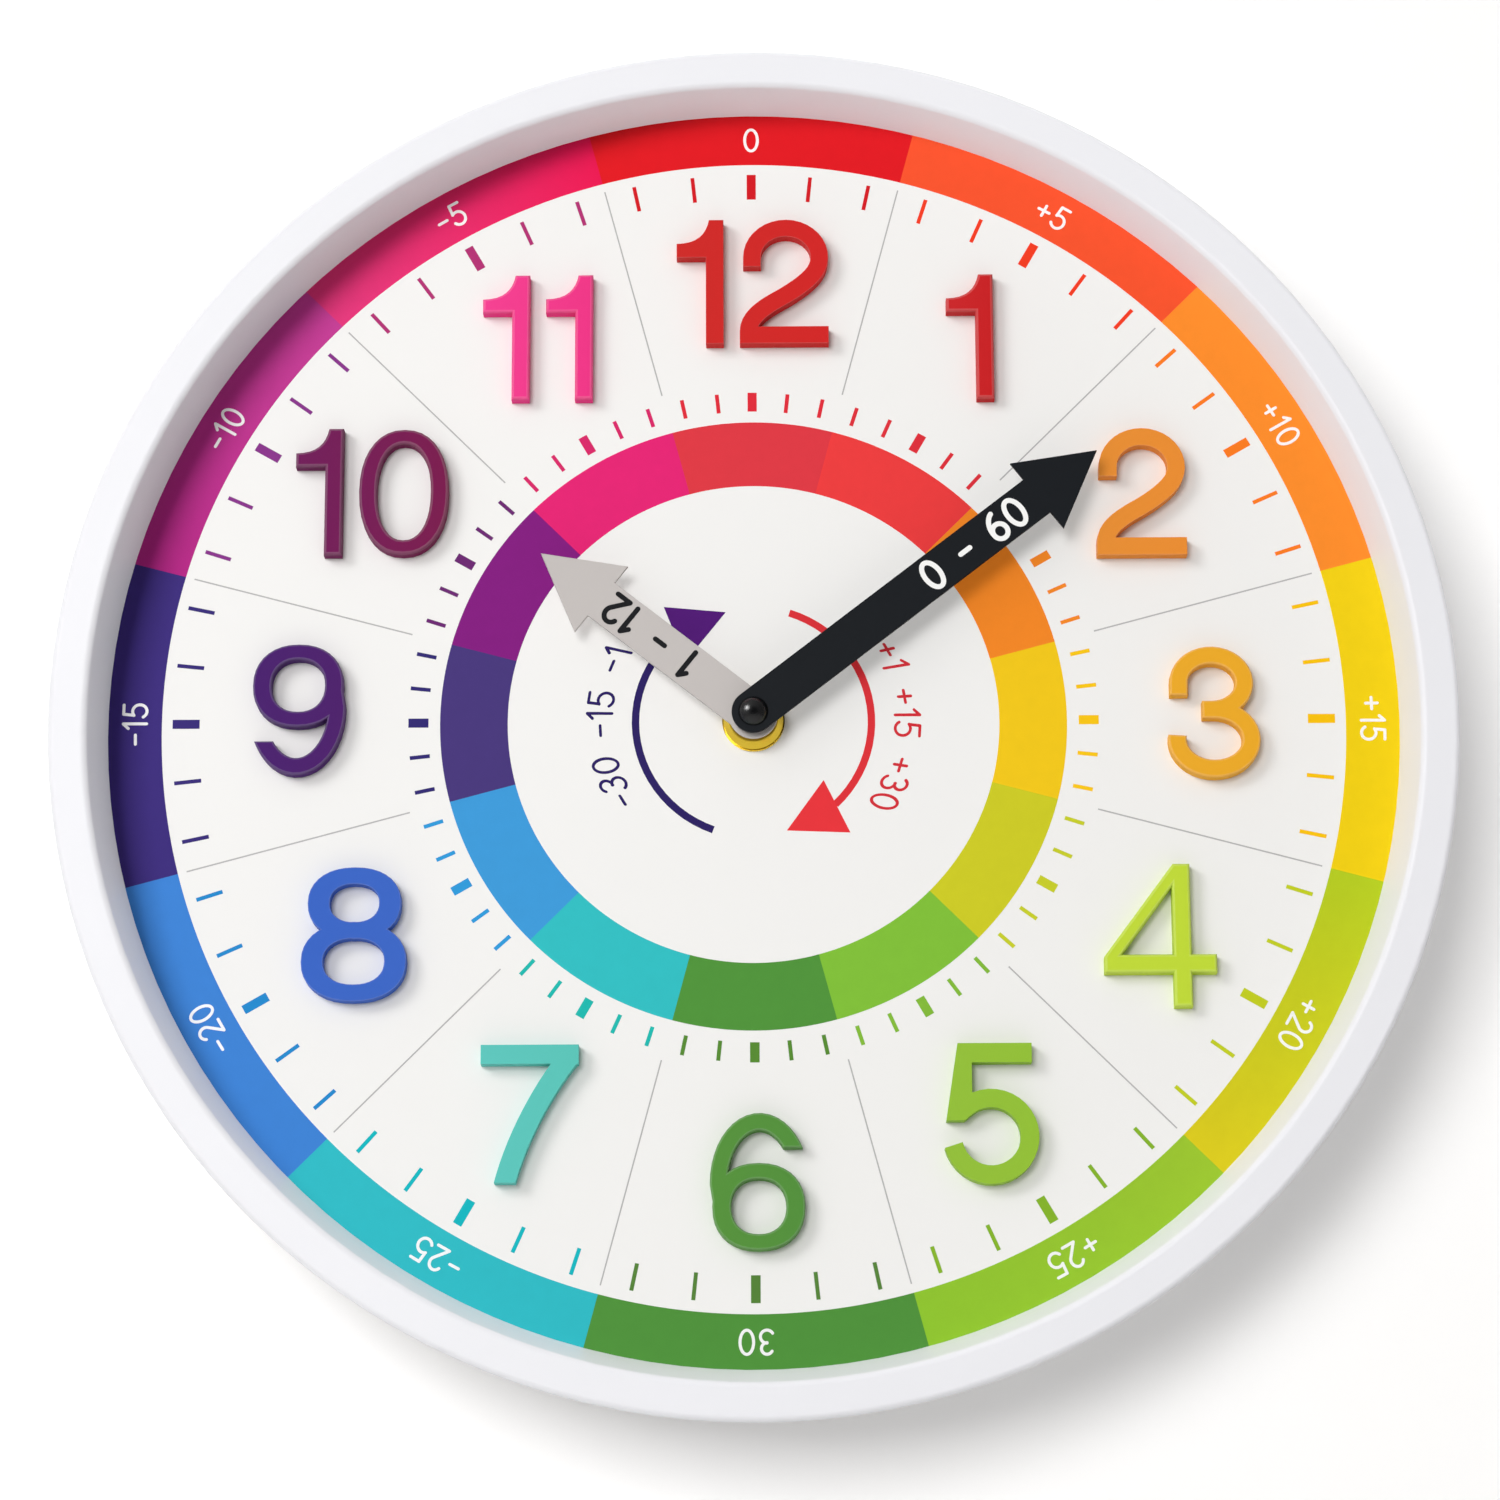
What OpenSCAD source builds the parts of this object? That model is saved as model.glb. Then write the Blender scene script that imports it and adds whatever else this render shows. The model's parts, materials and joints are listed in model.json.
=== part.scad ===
// Teaching wall clock: a round open-faced case, a printed dial with raised numerals,
// two labelled hands and a battery quartz movement with its whole gear train.
// Millimetres. The row frame has +Z up towards twelve o'clock and the dial facing -Y.
// The origin is the centre of the keyhole's entry hole, on the wall plane.
// Inside the modules the clock lies face up: x to the right, y towards twelve,
// z out of the dial, with z = 0 on the dial's face. on_wall() stands it up.

/* [Case] */
// Outer diameter of the case
case_d = 300; // [284:1:330]
// Width of the rim seen from the front, from its edge in to the dial
rim_w = 11.6; // [10.8:0.1:16]
// Width of the rim's front face
face_w = 8; // [7:0.1:9]
// Height of the rim's front face above the dial
rim_h = 9.4; // [8:0.1:12]
// Wall thickness of the case
case_wall = 2.2; // [1.8:0.1:2.6]
// How far the outer wall leans in by the rear edge
case_draft = 2.7; // [1.5:0.1:3.2]
// Number of case screws
screw_n = 6; // [4:1:8]

/* [Back cover] */
// Thickness of the back panel
cover_t = 2.2; // [1.6:0.1:2.4]
// Thickness of the foot ring that meets the wall
foot_t = 3; // [2.8:0.1:3.6]
// Number of stiffening ribs
rib_n = 12; // [6:1:16]
// Height of the stiffening ribs
rib_h = 6; // [3:0.5:10]

/* [Keyhole] */
// Distance from the spindle up to the keyhole's entry hole
hang_h = 104; // [80:1:112]
// Diameter of the entry hole, which passes a screw head
keyhole_d = 9; // [8:0.1:11]
// Width of the slot, which holds the screw's shank
keyhole_slot_w = 4.2; // [3:0.1:4.6]
// Length of the slot above the entry hole's centre
keyhole_len = 10; // [8:0.5:12]

/* [Dial] */
// Thickness of the dial plate
dial_t = 2; // [1.5:0.1:3]
// How far the dial plate reaches under the rim
dial_tuck = 2.2; // [1.5:0.1:2.3]

/* [Numerals] */
// Height of a numeral
numeral_h = 28.6; // [24:0.1:32]
// Stroke width of a numeral
numeral_w = 3.9; // [3:0.1:4.4]
// Thickness of a numeral
numeral_t = 3.2; // [2:0.1:4]
// Distance from the dial's visible edge in to the numerals' centres
numeral_in = 39.9; // [36:0.1:44]
// Gap between the digits of ten, eleven and twelve
digit_gap = 3.5; // [2:0.1:5]

/* [Hands] */
// Length of the minute hand from the spindle to its tip
minute_len = 94; // [80:0.5:110]
// Length of the hour hand from the spindle to its tip
hour_len = 58; // [46:0.5:70]
// Width of a hand's shaft
hand_w = 9.2; // [8:0.1:11]
// Width of an arrow head
head_w = 18.4; // [14:0.1:20]
// Length of an arrow head
head_len = 16.6; // [12:0.1:20]
// Thickness of a hand
hand_t = 0.9; // [0.6:0.1:1.2]
// Height of the hour hand's underside above the dial
hour_z = 5.4; // [5:0.1:5.6]
// Height of the minute hand's underside above the dial
minute_z = 8.2; // [7.6:0.1:8.6]
// Where the minute hand points at rest, in degrees clockwise from twelve
minute_deg = 52.2; // [0:0.1:360]
// Where the hour hand points at rest, in degrees clockwise from twelve
hour_deg = 308.3; // [0:0.1:360]
// Radius of the domed cap on the spindle
cap_r = 3.2; // [2.6:0.1:3.8]
// Height of the domed cap
cap_h = 2.2; // [1.9:0.1:2.6]

/* [Movement] */
// Wall thickness of the movement's shells
shell_t = 1.3; // [1:0.1:1.3]
// Gap between the movement and the window in the back cover
window_gap = 1.2; // [0.6:0.1:2]
// Outer radius of the threaded bush
bush_r = 4; // [3.8:0.1:4.2]
// Radius of the round nut's foot
nut_r = 6.4; // [5.8:0.1:7]
// Height of the round nut
nut_h = 2.5; // [2:0.1:2.8]
// Thickness of the rubber gasket behind the dial
gasket_t = 1; // [0.5:0.1:1.2]
// Running clearance on the radius of each shaft
run_gap = 0.07; // [0.05:0.01:0.1]
// Gap between the setting knob and the wall
knob_gap = 2.2; // [1.5:0.1:4]

/* [Battery] */
// Diameter of the cell
cell_d = 14.1; // [13.5:0.1:14.5]
// Length of the cell's can
cell_len = 49.5; // [48:0.1:49.5]
// Length of the cell's positive nub
nub_len = 1; // [0.8:0.1:1.3]

/* [Gear train] */
// Distance from the spindle to the motion wheel's axis
motion_a = 12; // [11.6:0.1:12]
// Thickness of the tooth that is left off for backlash, as a share of the module
backlash = 0.16; // [0.12:0.01:0.25]

/* [Hidden] */

$fn = 96;
touch = 0.02;             // fit between pieces that are pressed together
case_r = case_d / 2;
view_r = case_r - rim_w;  // where the inner wall meets the dial
dial_r = view_r + dial_tuck;
edge_r = 1.2;             // rounding of the rim's outer edge
inner_edge_r = 1.6;       // rounding between the inner wall and the face
numeral_r = view_r - numeral_in;
foot_r = case_r - case_draft;
wall_in_r = foot_r - case_wall;

screw_r = 1.2;
head_r = 2.4;
head_h = 1.6;
boss_r = 2.8;
boss_at = wall_in_r - boss_r - 0.2;
boss_top_z = 2.5;         // bosses run up into the rim's hollow
screw_len = 11;

clamp_t = 1.8;            // ring that presses the dial forward
clamp_r = view_r - 1;
frame_t = 1.8;            // frame round the movement's window
frame_top_z = -dial_t - 4;
pocket_d = 10;            // room behind the keyhole for the screw's head
pocket_t = 1.5;

move_front_z = -dial_t - gasket_t;
floor_z = move_front_z - shell_t;

bush_flange_t = 0.7;
bush_top_z = 3.7;
washer_t = 0.4;
pipe_r = 2.55;            // the hour wheel's pipe
arbor_r = 1.72;           // the minute arbor inside the pipe
stub_r = 1;               // the arbor's tip inside the cap
pivot_r = 0.5;
staff_r = 0.8;            // the slim shafts of the train
bearing_t = 0.8;          // the pivots' bosses
pivot_len = 0.6;

// Tooth counts. The minute arbor turns the hour wheel by 12/36 x 10/40 = 1/12, and
// 75/10 x 80/10 = 60 turns of the seconds wheel make one of the minute arbor.
cannon_n = 12;
motion_n = 36;
motion_pinion_n = 10;
hour_n = 40;
centre_n = 75;
train_pinion_n = 10;      // third, seconds and intermediate pinions
third_n = 80;
seconds_n = 60;           // seconds and intermediate wheels
rotor_n = 12;

// Depths of the train's layers, front to rear
wheel_t = 0.8;
hour_wheel_z = floor_z - bush_flange_t - 0.3 - 1.1;
motion_z = hour_wheel_z - 1.8;
plate_z = motion_z - 0.7;
plate_t = 1;
centre_z = plate_z - plate_t - 1.3;
hub_r = 2;                // the centre wheel's hub
clutch_gap = 0.03;        // the centre wheel's fit on the arbor
clutch_z = centre_z + wheel_t + 0.05;
clutch_h = 0.35;
third_z = centre_z - 1.6;
seconds_z = third_z - 1.6;
inter_z = seconds_z - 1.5;
stator_z = third_z - 0.5;
stator_t = 1;
magnet_r = 3;
magnet_t = 3;
pinion_over = 0.3;        // how far a pinion stands out past the wheel it meshes with
back_floor_z = inter_z - pinion_over - 0.7 - bearing_t;
move_rear_z = back_floor_z - shell_t;
split_z = (move_front_z + move_rear_z - 1) / 2;
knob_t = 2;
knob_z = move_rear_z - 0.3;
wall_z = knob_z - knob_t - knob_gap; // the wall plane, in the lying frame
rear_z = wall_z + foot_t; // the case's rear edge, where the cover meets it

// Modules of the gear pairs
cannon_m = 2 * motion_a / (cannon_n + motion_n);
hour_m = 2 * motion_a / (motion_pinion_n + hour_n);
centre_m = 0.22;
third_m = 0.2;
seconds_m = 0.24;
inter_m = 0.22;
shift = 0.4;              // pinions are thickened by this share, their wheels thinned
pressure = 20;

// Where the axes stand, from the direction in which each pair meshes
function toward(p, a, deg) = p + a * [cos(deg), sin(deg)];
motion_dir = 170;
knob_dir = 130;
third_dir = 0;
seconds_dir = 60;
inter_dir = 150;
rotor_dir = 180;
spindle = [0, 0];
motion_p = toward(spindle, motion_a, motion_dir);
knob_p = toward(motion_p, motion_a, knob_dir);
third_p = toward(spindle, centre_m * (centre_n + train_pinion_n) / 2, third_dir);
seconds_p = toward(third_p, third_m * (third_n + train_pinion_n) / 2, seconds_dir);
inter_p = toward(seconds_p, seconds_m * (seconds_n + train_pinion_n) / 2, inter_dir);
rotor_p = toward(inter_p, inter_m * (seconds_n + rotor_n) / 2, rotor_dir);

// The turn that puts wheel b's gap opposite wheel a's tooth, along the line a to b
function mesh_turn(dir, na, turn_a, nb) = dir + 180 + (dir - turn_a) * na / nb + 180 / nb;
arbor_turn = 90 - minute_deg;
motion_turn = mesh_turn(motion_dir, cannon_n, arbor_turn, motion_n);
knob_turn = mesh_turn(knob_dir, motion_n, motion_turn, cannon_n);
hour_turn = mesh_turn(motion_dir + 180, motion_pinion_n, motion_turn, hour_n);
third_turn = mesh_turn(third_dir, centre_n, arbor_turn, train_pinion_n);
seconds_turn = mesh_turn(seconds_dir, third_n, third_turn, train_pinion_n);
inter_turn = mesh_turn(inter_dir, seconds_n, seconds_turn, train_pinion_n);
rotor_turn = mesh_turn(rotor_dir, seconds_n, inter_turn, rotor_n);

// The coil lies above the rotor. The movement's inside is as large as the longest of
// the cell, the battery bay below the hour wheel, and the coil above the spindle.
coil_y = rotor_p.y + 10.6;
coil_r = 3.5;
coil_x = [rotor_p.x - 1.3, rotor_p.x + 17.3];
bay_wall_t = 1;
bay_h = cell_d + 0.9;
cell_room = 2.9;          // for the contacts at the cell's ends
wheel_room = 0.8;
hour_tip_r = hour_m * (hour_n / 2 + 0.95 - shift);
shell_in = max(
    (cell_len + nub_len + cell_room) / 2,
    hour_tip_r + wheel_room + bay_wall_t + bay_h,
    coil_y + coil_r + 0.6
);
move_w = 2 * (shell_in + shell_t);
window_w = move_w + 2 * window_gap;
bay_top_y = -shell_in + bay_h;
cell_y = -shell_in + bay_h / 2;
cell_z = floor_z - 0.2 - cell_d / 2;

// Lower left and upper right corners of the middle plate, and its posts
plate_low = [-shell_in + 1.3, bay_top_y + bay_wall_t + 0.3];
plate_high = [shell_in - 3.7, coil_y - coil_r - 0.7];
post_r = 1.6;
plate_posts = [
    plate_low + [1.4, 1.9], [plate_high.x - 2, plate_low.y + 1.9],
    plate_high - [2, 1.4], [motion_p.x + 3.8, plate_high.y - 1.4]
];
peg_r = 0.8;
limb_t = 2;               // the stator's upper limb, inside the coil
stator_pegs = [[rotor_p.x - 4.4, coil_y - 5.7], [rotor_p.x + 19.9, coil_y - 5.7]];

contact_t = 0.4;
contact_w = 2;
contact_pad = 8;
board_t = 1;
board_at = [-shell_in + 1.1, coil_y - 6.4];
board_w = 16.2;
board_h = shell_in - 0.5 - board_at.y;
board_z = back_floor_z + 2.6;
board_posts = [board_at + [2.2, board_h - 1.8], board_at + [board_w - 2.1, board_h - 1.8]];
strip_z = board_z - contact_w; // the strips end against the board's underside

// Colours of the pieces as the photograph shows them
plastic_white = "#f2f2f6";
numeral_colours = [
    "#d0222a", "#ee9237", "#efa92d", "#b9df38", "#8fc83a", "#4c973f",
    "#55c9c0", "#3e66c8", "#4e1e78", "#7a1f5f", "#f0388c", "#d4282a"
];

// Points on an ellipse's arc about c, from a0 to a1 degrees
function arc(c, r, a0, a1, n = 16) =
    [for (i = [0:n]) let (a = a0 + (a1 - a0) * i / n) c + [r.x * cos(a), r.y * sin(a)]];
// Points on a cubic curve
function curve(p, q, r, s, n = 10) =
    [for (i = [0:n]) let (t = i / n, u = 1 - t)
        u * u * u * p + 3 * u * u * t * q + 3 * u * t * t * r + t * t * t * s];
// A list of points without its first
function past_first(p) = [for (i = [1:len(p) - 1]) p[i]];
function unit(v) = v / norm(v);
function left_of(v) = [-v.y, v.x];
// The left-hand normal of a path at its point i
function normal_at(p, i) =
    left_of(unit(p[min(i + 1, len(p) - 1)] - p[max(i - 1, 0)]));
// Outline of a pen stroke of width w along the path p
function pen(p, w) = concat(
    [for (i = [0:len(p) - 1]) p[i] + normal_at(p, i) * w / 2],
    [for (i = [len(p) - 1:-1:0]) p[i] - normal_at(p, i) * w / 2]
);

// Stands the lying clock up, against the wall
module on_wall() {
    translate([0, wall_z, -hang_h]) rotate([90, 0, 0]) children();
}
module rod(z0, z1, r) { translate([0, 0, z0]) cylinder(h = z1 - z0, r = r); }
module slab(z0, z1) { translate([0, 0, z0]) linear_extrude(z1 - z0) children(); }
module at(p) { translate([p.x, p.y, 0]) children(); }
module around(n, r, from = 0) {
    for (i = [0:n - 1]) rotate(from + 360 * i / n) translate([r, 0, 0]) children();
}

// Gears: involute flanks above the base circle, straight below it
function inv(r, rb) = let (t = sqrt(max(0, pow(r / rb, 2) - 1))) t * 180 / PI - atan(t);
function half_tooth(r, m, n, x) =
    let (rp = m * n / 2, rb = rp * cos(pressure))
    (90 + 2 * x * tan(pressure) * 180 / PI) / n - backlash * 90 / PI / n
    + inv(rp, rb) - inv(max(r, rb), rb);
function tooth_radii(m, n, x, steps) =
    let (root = m * (n / 2 - 1.25 + x), tip = m * (n / 2 + 0.95 + x),
         base = max(root, m * n / 2 * cos(pressure)))
    concat(root < base ? [root] : [], [for (i = [0:steps]) base + (tip - base) * i / steps]);
function gear_outline(m, n, x, steps) =
    let (radii = tooth_radii(m, n, x, steps), last = len(radii) - 1)
    [for (k = [0:n - 1]) for (j = [0:2 * last + 1])
        let (i = j <= last ? j : 2 * last + 1 - j, r = radii[i],
             a = 360 * k / n + (j <= last ? -1 : 1) * half_tooth(r, m, n, x))
        r * [cos(a), sin(a)]];
module pinion(m, n, z0, z1) {
    slab(z0, z1) polygon(gear_outline(m, n, shift, 3));
}
// A wheel is a toothed rim on spokes, with a hub
module spoked_wheel(m, n, z0, z1, hub_r, spokes = 4) {
    rim_in = m * (n / 2 - 1.25 - shift) - 0.9;
    slab(z0, z1) {
        difference() {
            polygon(gear_outline(m, n, -shift, 1));
            circle(r = rim_in);
        }
        circle(r = hub_r);
        for (i = [0:spokes - 1]) rotate(360 * i / spokes)
            translate([0, -0.6]) square([rim_in + 0.3, 1.2]);
    }
}

// Case
// A flat front face between a sloped inner wall and a drafted outer wall, hollow behind
module rim_profile() {
    face_in_r = case_r - face_w;
    slope = (face_in_r - view_r) / rim_h;
    wall_deg = 90 - atan(slope);
    inner_edge = [face_in_r + inner_edge_r * tan(wall_deg / 2), rim_h - inner_edge_r];
    hollow_z = rim_h - case_wall;
    hollow_edge = case_wall - 0.8;
    hollow_in = view_r + slope * hollow_z + case_wall + 0.6;
    polygon(concat(
        [[view_r, 0]],
        arc(inner_edge, [inner_edge_r, inner_edge_r], 90 + wall_deg, 90, 8),
        arc([case_r - edge_r, rim_h - edge_r], [edge_r, edge_r], 90, 0, 8),
        [[foot_r, rear_z], [wall_in_r, rear_z]],
        arc([case_r - case_wall - 0.2 - hollow_edge, hollow_z - hollow_edge],
            [hollow_edge, hollow_edge], 0, 90, 6),
        [[hollow_in + 0.6, hollow_z], [hollow_in, hollow_z - 1], [view_r + case_wall + 0.6, 0]]
    ));
}
module case_rim() {
    color(plastic_white) on_wall() difference() {
        union() {
            rotate_extrude($fn = 180) rim_profile();
            around(screw_n, boss_at, 30) rod(rear_z, boss_top_z, boss_r);
        }
        around(screw_n, boss_at, 30) rod(rear_z - 1, rear_z + screw_len, screw_r + 0.05);
    }
}
module keyhole_2d() {
    circle(d = keyhole_d);
    translate([-keyhole_slot_w / 2, 0]) square([keyhole_slot_w, keyhole_len]);
    translate([0, keyhole_len]) circle(d = keyhole_slot_w);
}
module back_cover() {
    panel_z = rear_z - cover_t;
    pocket_in = [keyhole_d + 4, keyhole_len + keyhole_d + 4];
    color(plastic_white) on_wall() difference() {
        union() {
            rotate_extrude($fn = 180) polygon([
                [0, panel_z], [clamp_r - clamp_t - 1, panel_z],
                [clamp_r - clamp_t, wall_z], [foot_r - 0.6, wall_z],
                [foot_r, wall_z + 0.6], [foot_r, rear_z], [0, rear_z]
            ]);
            difference() {
                rod(rear_z, -dial_t, clamp_r);
                rod(rear_z - 1, 0, clamp_r - clamp_t);
            }
            slab(rear_z, frame_top_z) square(window_w + 2 * frame_t, center = true);
            for (i = [0:rib_n - 1]) rotate(360 * (i + 0.5) / rib_n)
                translate([window_w / 2, -0.8, rear_z])
                cube([clamp_r - window_w / 2 - clamp_t / 2, 1.6, rib_h]);
            translate([0, hang_h + keyhole_len / 2, 0]) slab(rear_z, rear_z + pocket_d + pocket_t)
                square(pocket_in + 2 * [pocket_t, pocket_t], center = true);
        }
        slab(wall_z - 1, 0) square(window_w, center = true);
        translate([0, hang_h, 0]) slab(wall_z - 1, rear_z) keyhole_2d();
        translate([0, hang_h + keyhole_len / 2, 0]) slab(rear_z, rear_z + pocket_d)
            square(pocket_in, center = true);
        around(screw_n, boss_at, 30) {
            rod(wall_z - 1, 0, screw_r + 0.2);
            rod(wall_z - 1, wall_z + head_h + 0.3, head_r + 0.15);
        }
    }
}
module case_screws() {
    seat_z = wall_z + head_h + 0.3;
    color("silver") on_wall() around(screw_n, boss_at, 30) difference() {
        union() {
            rod(seat_z - head_h, seat_z, head_r);
            rod(seat_z - 0.1, rear_z + screw_len - 1, screw_r);
        }
        slab(seat_z - head_h - 1, seat_z - head_h + 0.8) {
            square([3, 0.7], center = true);
            square([0.7, 3], center = true);
        }
    }
}
module dial_plate() {
    color("#f3f2f0") on_wall() difference() {
        rod(-dial_t, 0, dial_r);
        rod(-dial_t - 1, 1, bush_r + 0.15);
        around(screw_n, boss_at, 30) rod(-dial_t - 1, 1, boss_r + 0.25);
    }
}

// Numerals: plain grotesque figures, drawn as pen strokes. Each starts at x = 0, y = 0.
// The widths and heights of 0 to 9 are shares of numeral_h: 4 and 5 are cut larger.
figure_w = [for (k = [0.68, 0.36, 0.68, 0.69, 0.83, 0.695, 0.7, 0.72, 0.78, 0.7]) k * numeral_h];
figure_h = [for (k = [0.99, 1, 1, 1.01, 1.075, 1.04, 1.01, 1.02, 1.01, 1.01]) k * numeral_h];
half_w = numeral_w / 2;
// The place in figure d at these shares of its width and height
function spot(d, x, y) = [x * figure_w[d], y * figure_h[d]];
module ink() { slab(0, numeral_t) children(); }
module pen_stroke(p) { ink() polygon(pen(p, numeral_w)); }
// Points on a closed oval about c, squarer than an ellipse
function oval(c, r, n = 36) =
    [for (i = [0:n - 1]) let (x = cos(360 * i / n), y = sin(360 * i / n))
        c + [r.x * sign(x) * pow(abs(x), 0.9), r.y * sign(y) * pow(abs(y), 0.9)]];
// An oval ring that is wall.x thick at its sides and wall.y thick at its top and foot
module ring_stroke(c, r, wall) {
    ink() difference() {
        polygon(oval(c, r));
        polygon(oval(c, r - wall));
    }
}
module figure_0() {
    c = spot(0, 0.5, 0.5);
    ring_stroke(c, c, [numeral_w, 0.85 * numeral_w]);
}
module figure_1() {
    w = figure_w[1];
    h = figure_h[1];
    stem_x = w - numeral_w;
    ink() polygon(concat(
        [[w, 0], [w, h]],
        curve([stem_x + 0.7, h], spot(1, 0.62, 0.88), spot(1, 0.44, 0.81), [0, 0.808 * h], 8),
        [[0, 0.696 * h], [stem_x, 0.696 * h], [stem_x, 0]]
    ));
}
module figure_2() {
    w = figure_w[2];
    h = figure_h[2];
    bow_c = spot(2, 0.52, 0.696);
    bow_r = [0.38 * w, h - half_w - bow_c.y];
    bow = arc(bow_c, bow_r, 180, -22, 20);
    middle = spot(2, 0.44, 0.357);
    pen_stroke(concat(
        [[bow_c.x - bow_r.x, 0.62 * h]],
        bow,
        past_first(curve(bow[20], spot(2, 0.82, 0.525), spot(2, 0.63, 0.43), middle, 8)),
        past_first(curve(middle, spot(2, 0.23, 0.276), [half_w, 0.2 * h], [half_w, 0.1 * h], 8)),
        [[half_w, 0]]
    ));
    ink() translate([half_w, 0]) square([w - half_w, numeral_w]);
}
module figure_3() {
    w = figure_w[3];
    h = figure_h[3];
    waist = 0.517 * h;
    top_r = [0.355 * w, (h - half_w - waist) / 2];
    top_c = [0.483 * w, waist + top_r.y];
    low_r = [w / 2 - half_w, (waist - half_w) / 2];
    low_c = [w / 2, half_w + low_r.y];
    pen_stroke(concat([[top_c.x - top_r.x, 0.625 * h]], arc(top_c, top_r, 180, -90, 26)));
    pen_stroke(concat([[0.375 * w, waist]], arc(low_c, low_r, 88, -188, 28)));
}
module figure_4() {
    w = figure_w[4];
    h = figure_h[4];
    stem_x = 0.777 * w;
    bar_y = 0.236 * h;
    bar_t = 1.02 * numeral_w;
    slope = (h - bar_y - bar_t) / (stem_x - numeral_w);
    ink() difference() {
        polygon([
            [stem_x, 0], [stem_x, h], [stem_x - 0.92 * numeral_w, h],
            [0, bar_y + 0.9 * bar_t], [0, bar_y], [stem_x - numeral_w, bar_y], [stem_x - numeral_w, 0]
        ]);
        polygon([
            [stem_x - numeral_w, bar_y + bar_t], [0.97 * numeral_w, bar_y + bar_t],
            [stem_x - numeral_w, bar_y + bar_t + slope * (stem_x - 1.97 * numeral_w)]
        ]);
    }
    ink() translate([stem_x - 1, bar_y]) square([w - stem_x + 1, bar_t]);
}
module figure_5() {
    w = figure_w[5];
    h = figure_h[5];
    bow_r = [w / 2 - half_w + 0.1, 0.337 * h - half_w];
    bow_c = [w - half_w - bow_r.x, 0.337 * h];
    pen_stroke(arc(bow_c, bow_r, 133, -167, 30));
    ink() polygon([
        spot(5, 0.025, 0.45), spot(5, 0.22, 0.45), spot(5, 0.3, 0.5), spot(5, 0.3, 0.862),
        spot(5, 0.935, 0.862), spot(5, 0.935, 1), spot(5, 0.153, 1)
    ]);
}
module figure_6() {
    w = figure_w[6];
    h = figure_h[6];
    bowl_c = spot(6, 0.515, 0.316);
    bowl_r = [w - bowl_c.x, bowl_c.y];
    ring_stroke(bowl_c, bowl_r, [1.02 * numeral_w, 0.86 * numeral_w]);
    neck_c = spot(6, 0.525, 0.485);
    neck_r = [neck_c.x - half_w, h - half_w - neck_c.y];
    ink() difference() {
        polygon(pen(concat(
            arc(neck_c, neck_r, 28, 180, 18), [[bowl_c.x - bowl_r.x + half_w + 0.2, bowl_c.y]]
        ), 0.95 * numeral_w));
        translate(spot(6, 0.7, 0.5)) square(spot(6, 0.4, 0.24));
    }
}
module figure_7() {
    w = figure_w[7];
    h = figure_h[7];
    bar_t = 1.05 * numeral_w;
    ink() translate([0, h - bar_t]) square([w, bar_t]);
    ink() difference() {
        polygon(pen(curve(spot(7, 0.92, 0.925), spot(7, 0.655, 0.7), spot(7, 0.365, 0.32),
                          spot(7, 0.245, -0.03), 14), 1.12 * numeral_w));
        translate([0, -numeral_w]) square([w, numeral_w]);
    }
}
module figure_8() {
    top_r = spot(8, 0.444, 0.268);
    low_r = spot(8, 0.5, 0.296);
    wall = [1.2 * numeral_w, 0.93 * numeral_w];
    ring_stroke([low_r.x, figure_h[8] - top_r.y], top_r, wall);
    ring_stroke(low_r, low_r, wall);
}
module figure_9() {
    translate([figure_w[9], figure_h[9], 0]) rotate(180) figure_6();
}
module figure(d) {
    if (d == 0) figure_0();
    if (d == 1) figure_1();
    if (d == 2) figure_2();
    if (d == 3) figure_3();
    if (d == 4) figure_4();
    if (d == 5) figure_5();
    if (d == 6) figure_6();
    if (d == 7) figure_7();
    if (d == 8) figure_8();
    if (d == 9) figure_9();
}
// How far each numeral is glued off its hour's place, to the right and up
numeral_off = [
    [-1.6, 0.5], [-1.3, 0.9], [-0.1, 0.9], [0.4, 1.6], [0.2, -0.2], [0.4, -1],
    [2, 0.2], [0.7, 2.6], [1.3, 2.4], [2.9, 1.7], [2.5, 0.8], [0.2, 0.1]
];
// The numeral of hour h, upright
module numeral(h) {
    tens = floor(h / 10);
    ones = h % 10;
    lead = tens > 0 ? figure_w[tens] + digit_gap : 0;
    size = [lead + figure_w[ones], figure_h[ones]];
    at(numeral_r * [sin(30 * h), cos(30 * h)] + numeral_off[h - 1] - size / 2) {
        if (tens > 0) figure(tens);
        translate([lead, 0, 0]) figure(ones);
    }
}
module numeral_node(h) { color(numeral_colours[h - 1]) on_wall() numeral(h); }
module numeral_1() { numeral_node(1); }
module numeral_2() { numeral_node(2); }
module numeral_3() { numeral_node(3); }
module numeral_4() { numeral_node(4); }
module numeral_5() { numeral_node(5); }
module numeral_6() { numeral_node(6); }
module numeral_7() { numeral_node(7); }
module numeral_8() { numeral_node(8); }
module numeral_9() { numeral_node(9); }
module numeral_10() { numeral_node(10); }
module numeral_11() { numeral_node(11); }
module numeral_12() { numeral_node(12); }

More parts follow.
